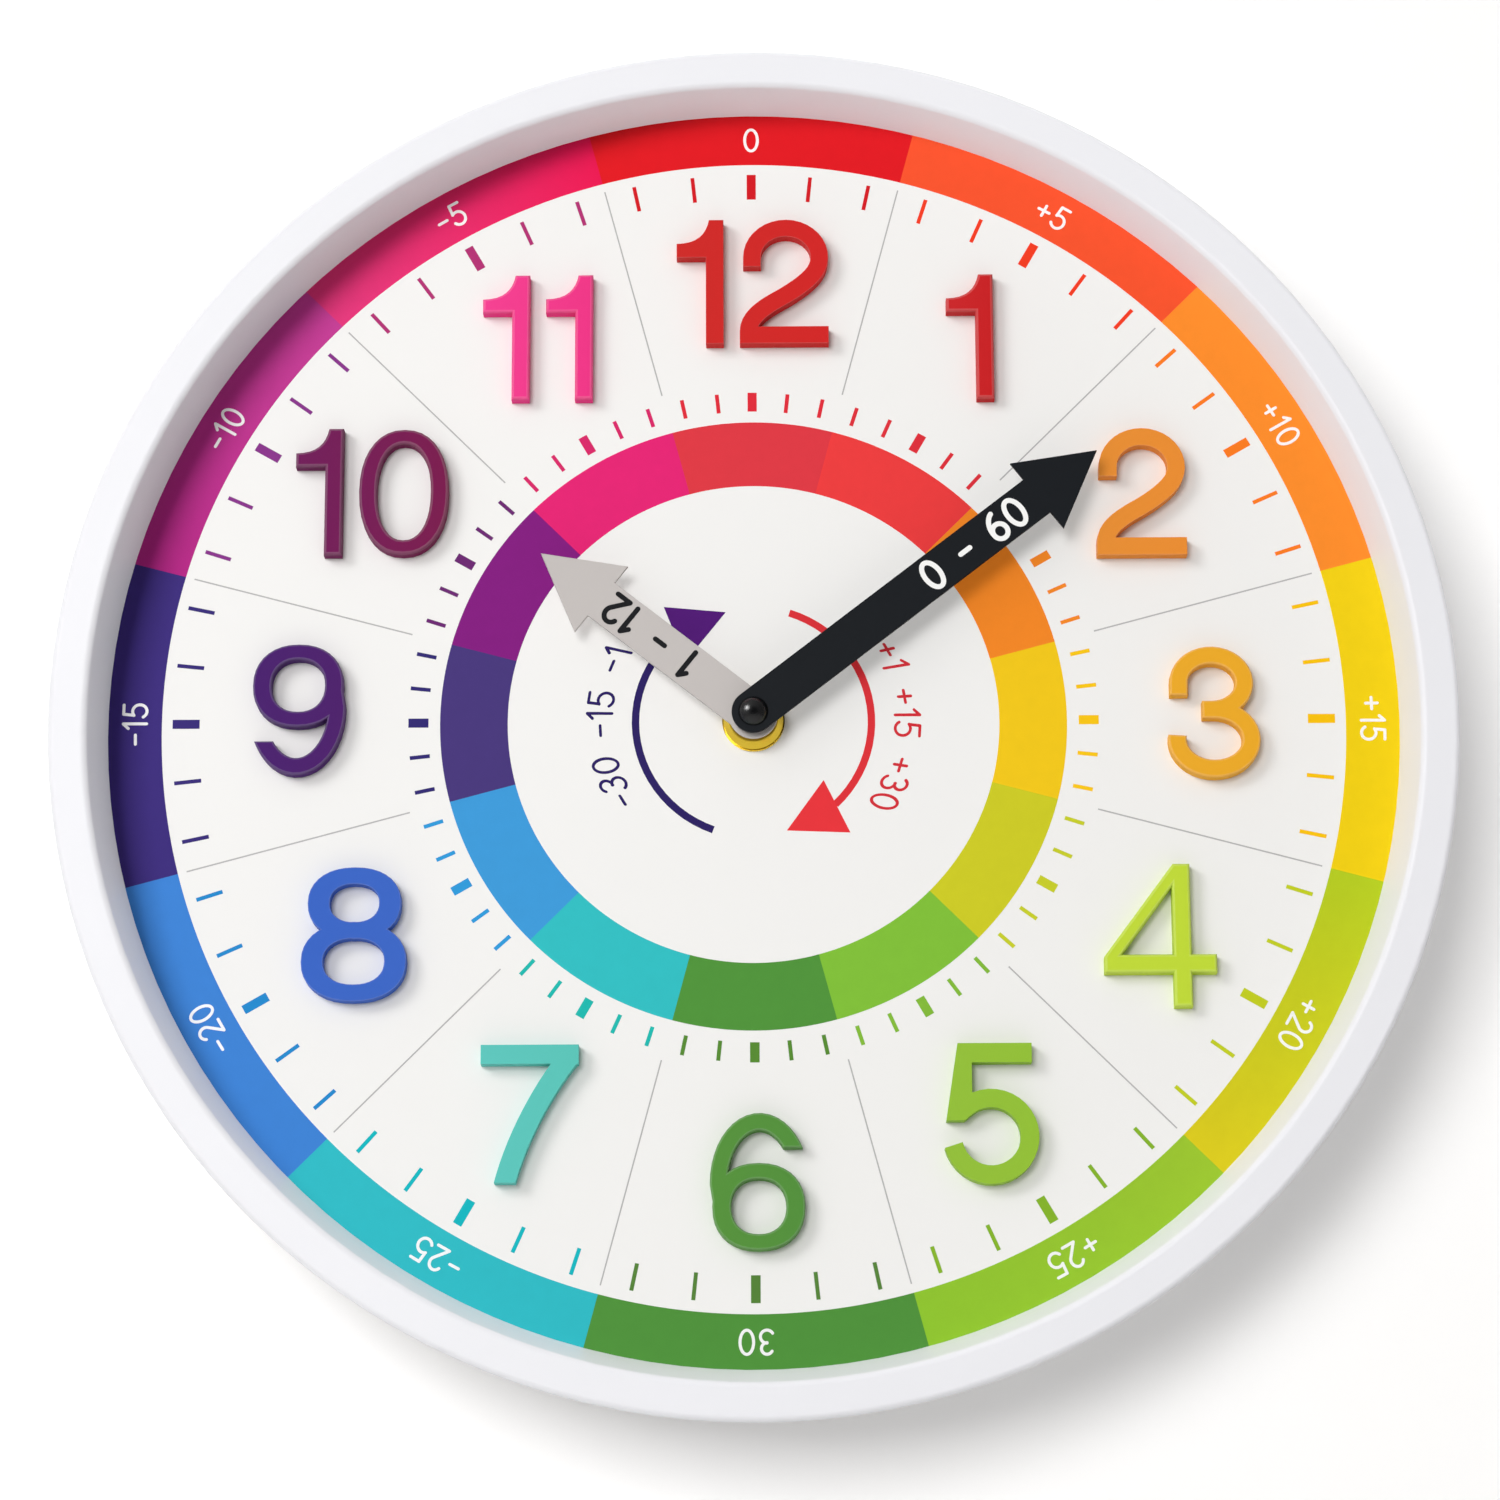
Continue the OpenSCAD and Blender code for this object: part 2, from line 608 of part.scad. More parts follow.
// Movement shells
module shell_2d(w, r = 2) {
    difference() {
        square(w, center = true);
        for (i = [0:3]) rotate(90 * i) translate([w / 2 - r, w / 2 - r])
            difference() {
                square(r + 1);
                circle(r = r);
            }
    }
}
module bearing(p, z0, z1, r) {
    at(p) difference() {
        rod(z0, z1, r + 0.9);
        rod(z0 - 1, z1 + 1, r + run_gap);
    }
}
module movement_front() {
    color("#26282b") on_wall() {
        difference() {
            slab(split_z, move_front_z) shell_2d(move_w);
            slab(split_z - 1, floor_z) shell_2d(2 * shell_in, 1);
            rod(floor_z - 1, move_front_z + 1, bush_r + touch);
        }
        for (p = plate_posts) at(p) rod(plate_z, floor_z + 0.1, post_r);
        bearing(motion_p, floor_z - bearing_t, floor_z, pivot_r);
        bearing(knob_p, floor_z - bearing_t, floor_z, pivot_r);
    }
}
module movement_back() {
    color("#26282b") on_wall() {
        difference() {
            union() {
                difference() {
                    slab(move_rear_z, split_z) shell_2d(move_w);
                    slab(back_floor_z, split_z + 1) shell_2d(2 * shell_in, 1);
                }
                translate([-shell_in, bay_top_y, 0]) slab(move_rear_z + 0.5, floor_z)
                    square([2 * shell_in, bay_wall_t]);
            }
            translate([-shell_in + 0.5, -shell_in, 0]) slab(move_rear_z - 1, back_floor_z + 0.1)
                square([2 * shell_in - 1, bay_h]);
            at(knob_p) rod(move_rear_z - 1, back_floor_z + 1, staff_r + 0.8 + run_gap);
            for (side = [-1, 1]) translate([side * (shell_in - 0.4), bay_top_y + bay_wall_t / 2, 0])
                slab(strip_z - 0.3, board_z + 0.3) square([1.2, bay_wall_t + 1], center = true);
        }
        for (p = [spindle, third_p, seconds_p, inter_p, rotor_p])
            bearing(p, back_floor_z, back_floor_z + bearing_t, pivot_r);
        for (p = board_posts) at(p) rod(back_floor_z, board_z, 1.2);
    }
}
module middle_plate() {
    color("#e8e6df") on_wall() {
        difference() {
            at(plate_low) slab(plate_z - plate_t, plate_z) square(plate_high - plate_low);
            rod(plate_z - 2, plate_z + 1, arbor_r + 0.2);
            at(knob_p) rod(plate_z - 2, plate_z + 1, staff_r + 0.8 + run_gap);
            for (p = [motion_p, third_p, seconds_p, inter_p, rotor_p])
                at(p) rod(plate_z - 2, plate_z + 1, pivot_r + run_gap);
        }
        for (p = stator_pegs) at(p) {
            rod(stator_z + stator_t, plate_z - plate_t + 0.1, peg_r + 0.5);
            rod(stator_z - 0.4, stator_z + stator_t + 0.1, peg_r);
        }
    }
}
module spindle_bush() {
    color("#c9a227") on_wall() difference() {
        union() {
            rod(floor_z - bush_flange_t, floor_z, bush_r + 1.5);
            rod(floor_z - 0.1, bush_top_z, bush_r);
        }
        rod(floor_z - 2, bush_top_z + 1, pipe_r + run_gap);
    }
}
module gasket() {
    color("#2a2a2a") on_wall() difference() {
        rod(move_front_z, -dial_t, 9);
        rod(move_front_z - 1, 0, bush_r + 0.1);
    }
}
module washer() {
    color("#c9a227") on_wall() difference() {
        rod(0, washer_t, nut_r + 0.3);
        rod(-1, 1, bush_r + 0.1);
    }
}
// Round nut with a shoulder and a coned crown
module round_nut() {
    top_r = bush_r + 1.1;
    top_z = washer_t + nut_h;
    color("#c9a227") on_wall() rotate_extrude() polygon([
        [bush_r + touch, washer_t], [nut_r - 0.2, washer_t], [nut_r, washer_t + 0.2],
        [nut_r, washer_t + 0.7], [top_r + 0.2, top_z - 0.1], [top_r, top_z],
        [bush_r + 0.3, top_z], [bush_r + touch, top_z - 0.3]
    ]);
}

// Minute train. The centre wheel turns the arbor through a dished spring, and slips on
// it when the hands are set.
module minute_arbor() {
    color("#d8b45a") on_wall() {
        rod(back_floor_z + bearing_t - pivot_len, back_floor_z + bearing_t + 0.1, pivot_r);
        rod(back_floor_z + bearing_t + 0.1, motion_z - 0.3, staff_r);
        rod(clutch_z + clutch_h, motion_z - 0.3, arbor_r);
        rotate(arbor_turn) pinion(cannon_m, cannon_n, motion_z - 0.35, motion_z + 1.3);
        rod(motion_z + 1.2, minute_z + hand_t, arbor_r);
        rod(minute_z + hand_t - 0.1, minute_z + hand_t + cap_h - 1, stub_r);
    }
}
module clutch_spring() {
    dish = 0.15;
    t = clutch_h - dish;
    color("#b8b9b6") on_wall() rotate_extrude() polygon([
        [staff_r + touch, clutch_z + dish], [1.2, clutch_z + dish], [hub_r + 0.4, clutch_z],
        [hub_r + 0.4, clutch_z + t], [1.2, clutch_z + clutch_h],
        [staff_r + touch, clutch_z + clutch_h]
    ]);
}
module centre_wheel() {
    color("#e8e6df") on_wall() difference() {
        rotate(arbor_turn) union() {
            spoked_wheel(centre_m, centre_n, centre_z, centre_z + wheel_t, hub_r);
            rod(centre_z - 0.6, centre_z + wheel_t, hub_r - 0.3);
        }
        rod(centre_z - 2, centre_z + 2, staff_r + clutch_gap);
    }
}
// Flat hand pointing up, with a round end and a straight-backed arrow head
module hand_2d(length, end_r) {
    neck = length - head_len;
    circle(r = end_r);
    translate([-hand_w / 2, 0]) square([hand_w, neck + 0.5]);
    polygon([[-head_w / 2, neck], [head_w / 2, neck], [0, length]]);
}
module minute_hand() {
    color("#1b1f24") on_wall() rotate(-minute_deg) difference() {
        slab(minute_z, minute_z + hand_t) hand_2d(minute_len, hand_w / 2);
        rod(minute_z - 1, minute_z + 2, arbor_r + touch);
    }
}
module hand_cap() {
    z = minute_z + hand_t;
    dome_r = (cap_r * cap_r + cap_h * cap_h) / 2 / cap_h;
    half_deg = asin(cap_r / dome_r);
    color("#101216") on_wall() rotate_extrude() polygon(concat(
        [[stub_r + touch, z], [cap_r, z]],
        [for (i = [0:10]) let (a = half_deg * (1 - i / 10))
            [dome_r * sin(a), z + cap_h - dome_r * (1 - cos(a))]],
        [[0, z + cap_h - 0.8], [stub_r + touch, z + cap_h - 0.8]]
    ));
}
module hour_wheel() {
    color("#e8e6df") on_wall() difference() {
        union() {
            rotate(hour_turn)
                spoked_wheel(hour_m, hour_n, hour_wheel_z, hour_wheel_z + 1.1, pipe_r + 1.2);
            rod(hour_wheel_z, hour_z + hand_t + 0.2, pipe_r);
        }
        rod(hour_wheel_z - 1, hour_z + hand_t + 1, arbor_r + run_gap);
    }
}
module hour_hand() {
    color("#c4bfbc") on_wall() rotate(-hour_deg) difference() {
        slab(hour_z, hour_z + hand_t) hand_2d(hour_len, hand_w / 2 + 0.6);
        rod(hour_z - 1, hour_z + 2, pipe_r + touch);
    }
}
module motion_wheel() {
    color("#e8e6df") on_wall() at(motion_p) rotate(motion_turn) {
        spoked_wheel(cannon_m, motion_n, motion_z, motion_z + 0.9, 2.6);
        pinion(hour_m, motion_pinion_n, motion_z + 0.8, hour_wheel_z + 1.15);
        rod(plate_z - plate_t + 0.2, floor_z - 0.2, pivot_r);
        rod(plate_z + 0.1, motion_z + 0.1, staff_r);
    }
}
module setting_knob() {
    knob_r = 5;
    shaft_r = staff_r + 0.8;
    color("#e8e6df") on_wall() at(knob_p) rotate(knob_turn) {
        pinion(cannon_m, cannon_n, motion_z - 0.3, motion_z + 1.2);
        rod(floor_z - bearing_t - 0.2, floor_z - 0.2, pivot_r);
        rod(motion_z + 1.1, floor_z - bearing_t - 0.1, staff_r);
        rod(knob_z - 0.1, motion_z - 0.2, shaft_r);
        difference() {
            rod(knob_z - knob_t, knob_z, knob_r);
            for (i = [0:19]) rotate(18 * i) translate([knob_r + 0.25, 0, 0])
                rod(knob_z - knob_t - 1, knob_z + 1, 0.6);
        }
    }
}

// Going train: a pinion in front of or behind its wheel, on one slim staff
module train_arbor(pinion_m, pinion_n, pinion_z, wheel_m, wheel_n, wheel_z) {
    pinion(pinion_m, pinion_n, pinion_z - pinion_over, pinion_z + wheel_t + pinion_over);
    spoked_wheel(wheel_m, wheel_n, wheel_z, wheel_z + wheel_t, 1.5);
    rod(back_floor_z + bearing_t - pivot_len, plate_z - 0.2, pivot_r);
    rod(back_floor_z + bearing_t + 0.1, plate_z - plate_t - 0.1, staff_r);
}
module third_wheel() {
    color("#e8e6df") on_wall() at(third_p) rotate(third_turn)
        train_arbor(centre_m, train_pinion_n, centre_z, third_m, third_n, third_z);
}
module seconds_wheel() {
    color("#e8e6df") on_wall() at(seconds_p) rotate(seconds_turn)
        train_arbor(third_m, train_pinion_n, third_z, seconds_m, seconds_n, seconds_z);
}
module intermediate_wheel() {
    color("#e8e6df") on_wall() at(inter_p) rotate(inter_turn)
        train_arbor(seconds_m, train_pinion_n, seconds_z, inter_m, seconds_n, inter_z);
}
module rotor() {
    magnet_z = stator_z + stator_t / 2 - magnet_t / 2;
    color("#55585c") on_wall() at(rotor_p) rotate(rotor_turn) {
        pinion(inter_m, rotor_n, inter_z - pinion_over, inter_z + wheel_t + pinion_over);
        rod(magnet_z, magnet_z + magnet_t, magnet_r);
        rod(back_floor_z + bearing_t - pivot_len, plate_z - 0.2, pivot_r);
        rod(back_floor_z + bearing_t + 0.1, plate_z - plate_t - 0.1, staff_r);
    }
}

// Motor and circuit
module stator() {
    hole_r = magnet_r + 0.5;
    limb_w = 4.2;
    limb_x = [rotor_p.x - 6.4, rotor_p.x + 18];
    limb_top = coil_y + 2.4;
    arm_y = stator_pegs[0].y - 1.5;
    color("#9a9da1") on_wall() slab(stator_z, stator_z + stator_t) difference() {
        union() {
            at(rotor_p) translate([-6.4, -4.7]) square([12.6, 9.4]);
            translate([limb_x[0], rotor_p.y]) square([limb_w, limb_top - rotor_p.y]);
            translate([rotor_p.x + 2, arm_y]) square([20.1, 3.1]);
            translate([limb_x[1], arm_y]) square([limb_w, limb_top - arm_y]);
            translate([limb_x[0], coil_y - limb_t / 2])
                square([limb_x[1] + limb_w - limb_x[0], limb_t]);
        }
        at(rotor_p) circle(r = hole_r);
        at(rotor_p) translate([-0.5, hole_r + 0.5]) square([1, 3]);
        at(rotor_p) translate([-0.5, -hole_r - 3.5]) square([1, 3]);
        for (p = stator_pegs) translate(p) circle(r = peg_r + touch);
    }
}
// Bobbin with its winding, round the stator's upper limb
module coil() {
    z = stator_z + stator_t / 2;
    core_r = coil_r - 0.7;
    flange_t = 1;
    color("#b5651d") on_wall() translate([0, coil_y, z]) difference() {
        rotate([0, 90, 0]) rotate_extrude() polygon([
            [0, coil_x[0]], [coil_r, coil_x[0]], [coil_r, coil_x[0] + flange_t],
            [core_r, coil_x[0] + flange_t], [core_r, coil_x[1] - flange_t],
            [coil_r, coil_x[1] - flange_t], [coil_r, coil_x[1]], [0, coil_x[1]]
        ]);
        translate([coil_x[0] - 1, -limb_t / 2 - touch, -stator_t / 2 - touch])
            cube([coil_x[1] - coil_x[0] + 2, limb_t + 2 * touch, stator_t + 2 * touch]);
    }
}
module circuit_board() {
    chip_at = [0.65 * board_w, 0.54 * board_h];
    crystal_at = [0.25 * board_w, 0.2 * board_h];
    color("#2f6b3c") on_wall() at(board_at) {
        slab(board_z, board_z + board_t) square([board_w, board_h]);
        at(chip_at) rod(board_z + board_t - 0.1, board_z + board_t + 1, 2.6);
        translate([crystal_at.x, crystal_at.y, board_z + board_t + 0.9]) rotate([0, 90, 0])
            cylinder(h = 0.37 * board_w, r = 1);
    }
}
// Spring strips: from the cell's ends round the bay wall to the circuit board
module strip(path, z0, z1) { slab(z0, z1) polygon(pen(path, contact_t)); }
module contact_positive() {
    x = shell_in - contact_t / 2;
    run_y = bay_top_y + bay_wall_t + 0.5;
    end = board_at + [2.6, 1.8];
    color("#cfcfc8") on_wall() {
        strip([[x, cell_y - contact_pad / 2 - 1], [x, run_y], [end.x, run_y], end], strip_z, board_z);
        translate([x - 0.6, cell_y - contact_pad / 2, cell_z - contact_pad / 2])
            cube([0.5, contact_pad, contact_pad]);
    }
}
module contact_negative() {
    x = -shell_in + contact_t / 2;
    end = board_at + [1.2, 1.6];
    color("#cfcfc8") on_wall() {
        strip([[x, cell_y - contact_pad / 2 - 1], [x, end.y], end], strip_z, board_z);
        translate([x + 0.1, 0, cell_z]) rotate([90, 0, 90]) rotate_extrude()
            polygon([[0, 0], [contact_pad / 2, 0], [1.5, 1], [0, 1]]);
    }
}
module battery() {
    start = -shell_in + 1.75;
    color("#3f7f5f") on_wall() translate([start, cell_y, cell_z]) rotate([0, 90, 0]) {
        cylinder(h = cell_len, r = cell_d / 2);
        cylinder(h = cell_len + nub_len, r = 2.75);
    }
}

case_rim();
back_cover();
case_screws();
dial_plate();
numeral_1();
numeral_2();
numeral_3();
numeral_4();
numeral_5();
numeral_6();
numeral_7();
numeral_8();
numeral_9();
numeral_10();
numeral_11();
numeral_12();
movement_front();
movement_back();
middle_plate();
spindle_bush();
gasket();
washer();
round_nut();
minute_arbor();
clutch_spring();
centre_wheel();
minute_hand();
hand_cap();
hour_wheel();
hour_hand();
motion_wheel();
setting_knob();
third_wheel();
seconds_wheel();
intermediate_wheel();
rotor();
stator();
coil();
circuit_board();
contact_positive();
contact_negative();
battery();
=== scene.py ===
# %% [markdown]
# This lesson dresses a teaching wall clock in Blender. The real clock is a white moulded case around a
# printed dial sheet, with raised coloured numerals, two sheet metal hands and a small battery movement
# behind. Its parts come from a CAD model, already at their real size and in their real places, so nothing
# is scaled or moved here. We load them as a fixed frame first. The looks have to stay inside it.

# %% Load the frame
import json
import math

import bmesh
import bpy
from mathutils import Matrix, Vector


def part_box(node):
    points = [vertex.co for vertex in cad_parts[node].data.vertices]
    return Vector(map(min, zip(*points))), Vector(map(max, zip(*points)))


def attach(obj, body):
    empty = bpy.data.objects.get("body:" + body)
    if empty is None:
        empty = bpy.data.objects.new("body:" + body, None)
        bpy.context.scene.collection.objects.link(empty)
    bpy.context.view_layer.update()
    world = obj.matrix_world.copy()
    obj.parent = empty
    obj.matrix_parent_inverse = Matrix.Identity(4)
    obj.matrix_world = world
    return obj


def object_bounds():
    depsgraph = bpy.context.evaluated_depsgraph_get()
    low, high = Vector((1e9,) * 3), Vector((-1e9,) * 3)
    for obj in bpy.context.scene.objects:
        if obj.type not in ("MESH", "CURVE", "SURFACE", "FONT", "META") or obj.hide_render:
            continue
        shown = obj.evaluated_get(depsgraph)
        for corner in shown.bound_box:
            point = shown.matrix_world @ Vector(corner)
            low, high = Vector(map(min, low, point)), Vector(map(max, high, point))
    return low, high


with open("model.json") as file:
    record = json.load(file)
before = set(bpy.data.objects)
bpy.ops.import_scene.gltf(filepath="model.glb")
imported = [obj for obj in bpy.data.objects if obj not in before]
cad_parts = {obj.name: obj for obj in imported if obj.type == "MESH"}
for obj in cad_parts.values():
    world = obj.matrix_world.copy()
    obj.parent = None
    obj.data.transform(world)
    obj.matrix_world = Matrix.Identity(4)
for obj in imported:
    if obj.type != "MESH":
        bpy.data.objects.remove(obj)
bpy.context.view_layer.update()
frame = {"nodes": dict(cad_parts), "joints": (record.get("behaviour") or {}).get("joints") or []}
nodes = frame["nodes"]

# %% [markdown]
# A clock is easiest to describe in its own terms: so many millimetres out from the spindle, at an angle
# clockwise from twelve. The spindle's place comes from the joint of the minute hand, and the printed
# face is the front of the dial plate. The viewer stands on the side of minus Y, so a thing raised off
# the dial has a lower Y.

# %% Millimetres and the clock's own coordinates
MM = 0.001
joint_places = {joint["name"]: joint.get("pos_m") for joint in frame["joints"]}
spindle = Vector(joint_places["minute_turn"])
dial_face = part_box("dial_plate")[0].y


def polar(radius, degrees):
    """Millimetres right of and above the spindle, for a radius and an angle clockwise from twelve."""
    turn = math.radians(degrees)
    return radius * math.sin(turn), radius * math.cos(turn)


def in_frame(across, up, face):
    """The frame's point for millimetres right of and above the spindle, on a face at that Y."""
    return Vector((spindle.x + across * MM, face, spindle.z + up * MM))


dial_centre = in_frame(0, 0, dial_face)
print("the dial's centre is at", [round(v, 4) for v in dial_centre])

# %% [markdown]
# The camera comes early, so that every later step can be looked at. A product photograph like this one
# is taken with a long lens from a little below the clock. The three small turns, in degrees, and the
# place of the dial's centre in the view, in millimetres, were found by laying the rim's and the dial's
# circles over the photograph. No lens shift is needed.

# %% Camera
SENSOR = 36.0
LENS = 106.08
PITCH, YAW, ROLL = -13.77, -0.28, 0.23
CENTRE_IN_VIEW = Vector((0.74, 6.13, -947.6))
dial_to_view = (
    Matrix.Rotation(math.radians(ROLL), 3, "Z")
    @ Matrix.Rotation(math.radians(PITCH), 3, "X")
    @ Matrix.Rotation(math.radians(YAW), 3, "Y")
)
# The dial's own axes point right, up and to the viewer, which are X, Z and minus Y in the frame.
dial_to_frame = Matrix(((1, 0, 0), (0, 0, -1), (0, 1, 0)))
view_to_frame = dial_to_frame @ dial_to_view.transposed()

camera = bpy.data.objects.new("camera", bpy.data.cameras.new("camera"))
bpy.context.scene.collection.objects.link(camera)
camera.data.sensor_width = SENSOR
camera.data.lens = LENS
camera.data.clip_start = 10 * MM
camera_place = dial_centre - view_to_frame @ CENTRE_IN_VIEW * MM
camera.matrix_world = Matrix.Translation(camera_place) @ view_to_frame.to_4x4()
bpy.context.scene.camera = camera
print("camera at", [round(v, 3) for v in camera.matrix_world.translation])

# %% [markdown]
# Colours are easiest to pick as sRGB hex values, but a shader wants linear light. One function turns one
# into the other, and another finds a colour between two. A third small function adds a shader node:
# keyword settings go on the node, and the inputs are either numbers or another node's output, which is
# then linked.

# %% Helpers for colours and shader nodes
def linear(hex_value):
    """A linear RGBA colour for an sRGB hex value such as #C9A21F."""
    parts = [int(hex_value[i : i + 2], 16) / 255 for i in (1, 3, 5)]
    return [p / 12.92 if p <= 0.04045 else ((p + 0.055) / 1.055) ** 2.4 for p in parts] + [1.0]


def blend_colours(start, end, share):
    """A colour between two linear ones."""
    return [a + (b - a) * share for a, b in zip(start, end)]


BLACK, WHITE = linear("#000000"), linear("#FFFFFF")
MIX_SHARE, MIX_FIRST, MIX_SECOND, MIX_RESULT = 0, 6, 7, 2  # a Mix node's sockets for colours


def add_node(tree, kind, inputs=None, **settings):
    """Adds one shader node, with its settings, and sets or links its inputs."""
    node = tree.nodes.new("ShaderNode" + kind)
    for name, value in settings.items():
        setattr(node, name, value)
    for name, value in (inputs or {}).items():
        if isinstance(value, bpy.types.NodeSocket):
            tree.links.new(value, node.inputs[name])
        else:
            node.inputs[name].default_value = value
    return node


def new_material(name, **shader_inputs):
    """A material with one Principled shader. Returns the material, its node tree and the shader."""
    material = bpy.data.materials.new(name)
    material.use_nodes = True
    shader = material.node_tree.nodes["Principled BSDF"]
    for socket, value in shader_inputs.items():
        shader.inputs[socket.replace("_", " ")].default_value = value
    return material, material.node_tree, shader


print("a shader takes the sRGB colour #808080 as", round(linear("#808080")[0], 3))

# %% [markdown]
# Every surface carries the marks of its making: a mould's grain, a lathe's rings, the haze of a sawn
# sheet. They are seen twice, because the same noise changes how rough a spot is and raises or lowers it
# a little. So one helper takes a pattern of marks and does both. The marks' width and depth are real
# millimetres.

# %% Marks of making
def per_metre(size_mm):
    """The texture scale at which a pattern's features are about that many millimetres wide."""
    return 1 / (size_mm * MM)


def leave_marks(tree, shader, marks, roughness, spread, strength, depth_mm):
    """Lets a pattern of marks bump a surface, and vary its roughness up and down by the share spread."""
    low, high = roughness * (1 - spread), roughness * (1 + spread)
    matt = add_node(tree, "MapRange", {"Value": marks, "To Min": low, "To Max": high})
    bump = add_node(tree, "Bump", {"Height": marks, "Strength": strength, "Distance": depth_mm * MM})
    tree.links.new(matt.outputs["Result"], shader.inputs["Roughness"])
    tree.links.new(bump.outputs["Normal"], shader.inputs["Normal"])


print("a grain of 0.5 mm needs a texture scale of", round(per_metre(0.5)))

# %% [markdown]
# Most of this clock is moulded plastic. ABS comes out of the mould with a skin that copies the steel: a
# polished mould gives a soft gloss with a faint ripple, and a spark-eroded one gives a fine matt grain.
# Both are one recipe: a base colour that drifts a little over some seven centimetres, and the grain's
# marks. The index of refraction of ABS is about 1.53.

# %% Moulded plastic
FLOW_MM = 70.0


def moulded_plastic(name, colour, roughness, grain_mm, depth_mm, drift=0.03, ior=1.53, shine=0.5):
    """Injection moulded plastic, with the grain that the mould's steel leaves on it."""
    material, tree, shader = new_material(name, Roughness=roughness, IOR=ior, Specular_IOR_Level=shine)
    place = add_node(tree, "TexCoord").outputs["Object"]
    flow = add_node(tree, "TexNoise", {"Vector": place, "Scale": per_metre(FLOW_MM), "Detail": 2.0})
    ends = {MIX_FIRST: blend_colours(linear(colour), BLACK, drift), MIX_SECOND: linear(colour)}
    tint = add_node(tree, "Mix", {MIX_SHARE: flow.outputs["Fac"], **ends}, data_type="RGBA")
    tree.links.new(tint.outputs[MIX_RESULT], shader.inputs["Base Color"])
    grain = add_node(tree, "TexNoise", {"Vector": place, "Scale": per_metre(grain_mm), "Detail": 3.0})
    leave_marks(tree, shader, grain.outputs["Fac"], roughness, spread=0.12, strength=0.6, depth_mm=depth_mm)
    return material


case_abs = moulded_plastic("white_abs_polished_mould", "#E8E8EC", 0.42, 1.6, 0.010, shine=0.3)
cover_abs = moulded_plastic("white_abs_eroded_mould", "#EDEDEF", 0.55, 0.45, 0.030)
movement_abs = moulded_plastic("black_abs_eroded_mould", "#28292C", 0.50, 0.40, 0.030, drift=0.2)
cap_abs = moulded_plastic("black_abs_polished", "#060709", 0.25, 2.0, 0.002, drift=0.1, shine=0.42)
gear_acetal = moulded_plastic("natural_acetal_moulded", "#E8E6DC", 0.38, 0.9, 0.006, ior=1.48)
print("moulded plastics made, from", case_abs.name, "to", gear_acetal.name)

# %% [markdown]
# The dial is a sheet of white polystyrene with a satin print varnish, so it is flat and nearly matt,
# with a very faint mottle where the varnish lies. The hands are thin aluminium with a baked paint, which
# fills the rolling marks and leaves a fine orange peel. Both are again plain plastics to a shader, since
# paint hides the metal.

# %% Dial sheet and painted hands
dial_sheet = moulded_plastic(
    "white_polystyrene_varnished", "#F2F1EF", 0.60, 3.0, 0.004, drift=0.01, ior=1.5, shine=0.2
)
hour_paint = moulded_plastic("grey_baked_paint", "#C2BCB9", 0.50, 0.8, 0.006, drift=0.04, shine=0.2)
minute_paint = moulded_plastic("black_baked_paint", "#12161B", 0.50, 0.8, 0.006, drift=0.10, shine=0.08)
rubber = moulded_plastic("black_nitrile_rubber", "#1A1A1B", 0.75, 0.3, 0.020, drift=0.2)
print("sheet and paints made")

# %% [markdown]
# Metals need another recipe, because a metal's colour is in its reflection. Turned brass shows fine
# rings around its axis, drawn steel shows streaks, and zinc plating a faint cloud. The streaks come from
# noise that is squeezed along one direction, and they change both the roughness and the bump. A lathe's
# rings also stretch the highlights across them, which is anisotropy around the Y axis. The shader's
# index stays at its default.

# %% Metals
DULL_SHARE = 0.14


def worked_metal(name, colour, roughness, mark_mm, squeeze=(1, 1, 1), depth_mm=0.004, turned=0.0):
    """Bare metal with the marks of its making.

    squeeze is how much finer the marks are along each axis, and turned how much they stretch a highlight.
    """
    material, tree, shader = new_material(name, Metallic=1.0, Roughness=roughness, Anisotropic=turned)
    if turned:
        rings = add_node(tree, "Tangent", direction_type="RADIAL", axis="Y")
        tree.links.new(rings.outputs["Tangent"], shader.inputs["Tangent"])
    place = add_node(tree, "TexCoord").outputs["Object"]
    drawn = add_node(tree, "Mapping", {"Vector": place, "Scale": squeeze}).outputs["Vector"]
    marks = add_node(tree, "TexNoise", {"Vector": drawn, "Scale": per_metre(mark_mm), "Detail": 4.0})
    ends = {MIX_FIRST: blend_colours(linear(colour), BLACK, DULL_SHARE), MIX_SECOND: linear(colour)}
    tint = add_node(tree, "Mix", {MIX_SHARE: marks.outputs["Fac"], **ends}, data_type="RGBA")
    tree.links.new(tint.outputs[MIX_RESULT], shader.inputs["Base Color"])
    leave_marks(tree, shader, marks.outputs["Fac"], roughness, spread=0.3, strength=0.5, depth_mm=depth_mm)
    return material


turned_brass = worked_metal("turned_brass", "#E6C440", 0.2, 1.2, (1, 6, 1), depth_mm=0.002, turned=0.6)
zinc_steel = worked_metal("zinc_plated_steel", "#BFC3C7", 0.34, 1.5)
nickel_steel = worked_metal("nickel_plated_spring_steel", "#C9C6BE", 0.24, 1.0, (5, 1, 1))
core_steel = worked_metal("annealed_silicon_steel", "#8E9196", 0.42, 1.2, (1, 8, 1))
ferrite = worked_metal("ground_ferrite", "#4B4D50", 0.48, 0.5)
print("metals made")

# %% [markdown]
# The coil is enamelled copper wire, wound in even turns along the bobbin. A band texture gives the turns,
# each with a band of painted shade between it and the next. Real wire is under 0.1 mm thick, which would
# not show, so its turns are drawn 0.6 mm apart. The circuit board is glass fibre with a green solder mask.

# %% Winding and board
WIRE_PITCH = 0.592
BANDS_PER_UNIT = 20 / (2 * math.pi)  # what the wave texture draws at a scale of one
WIRE_RELIEF = 0.05


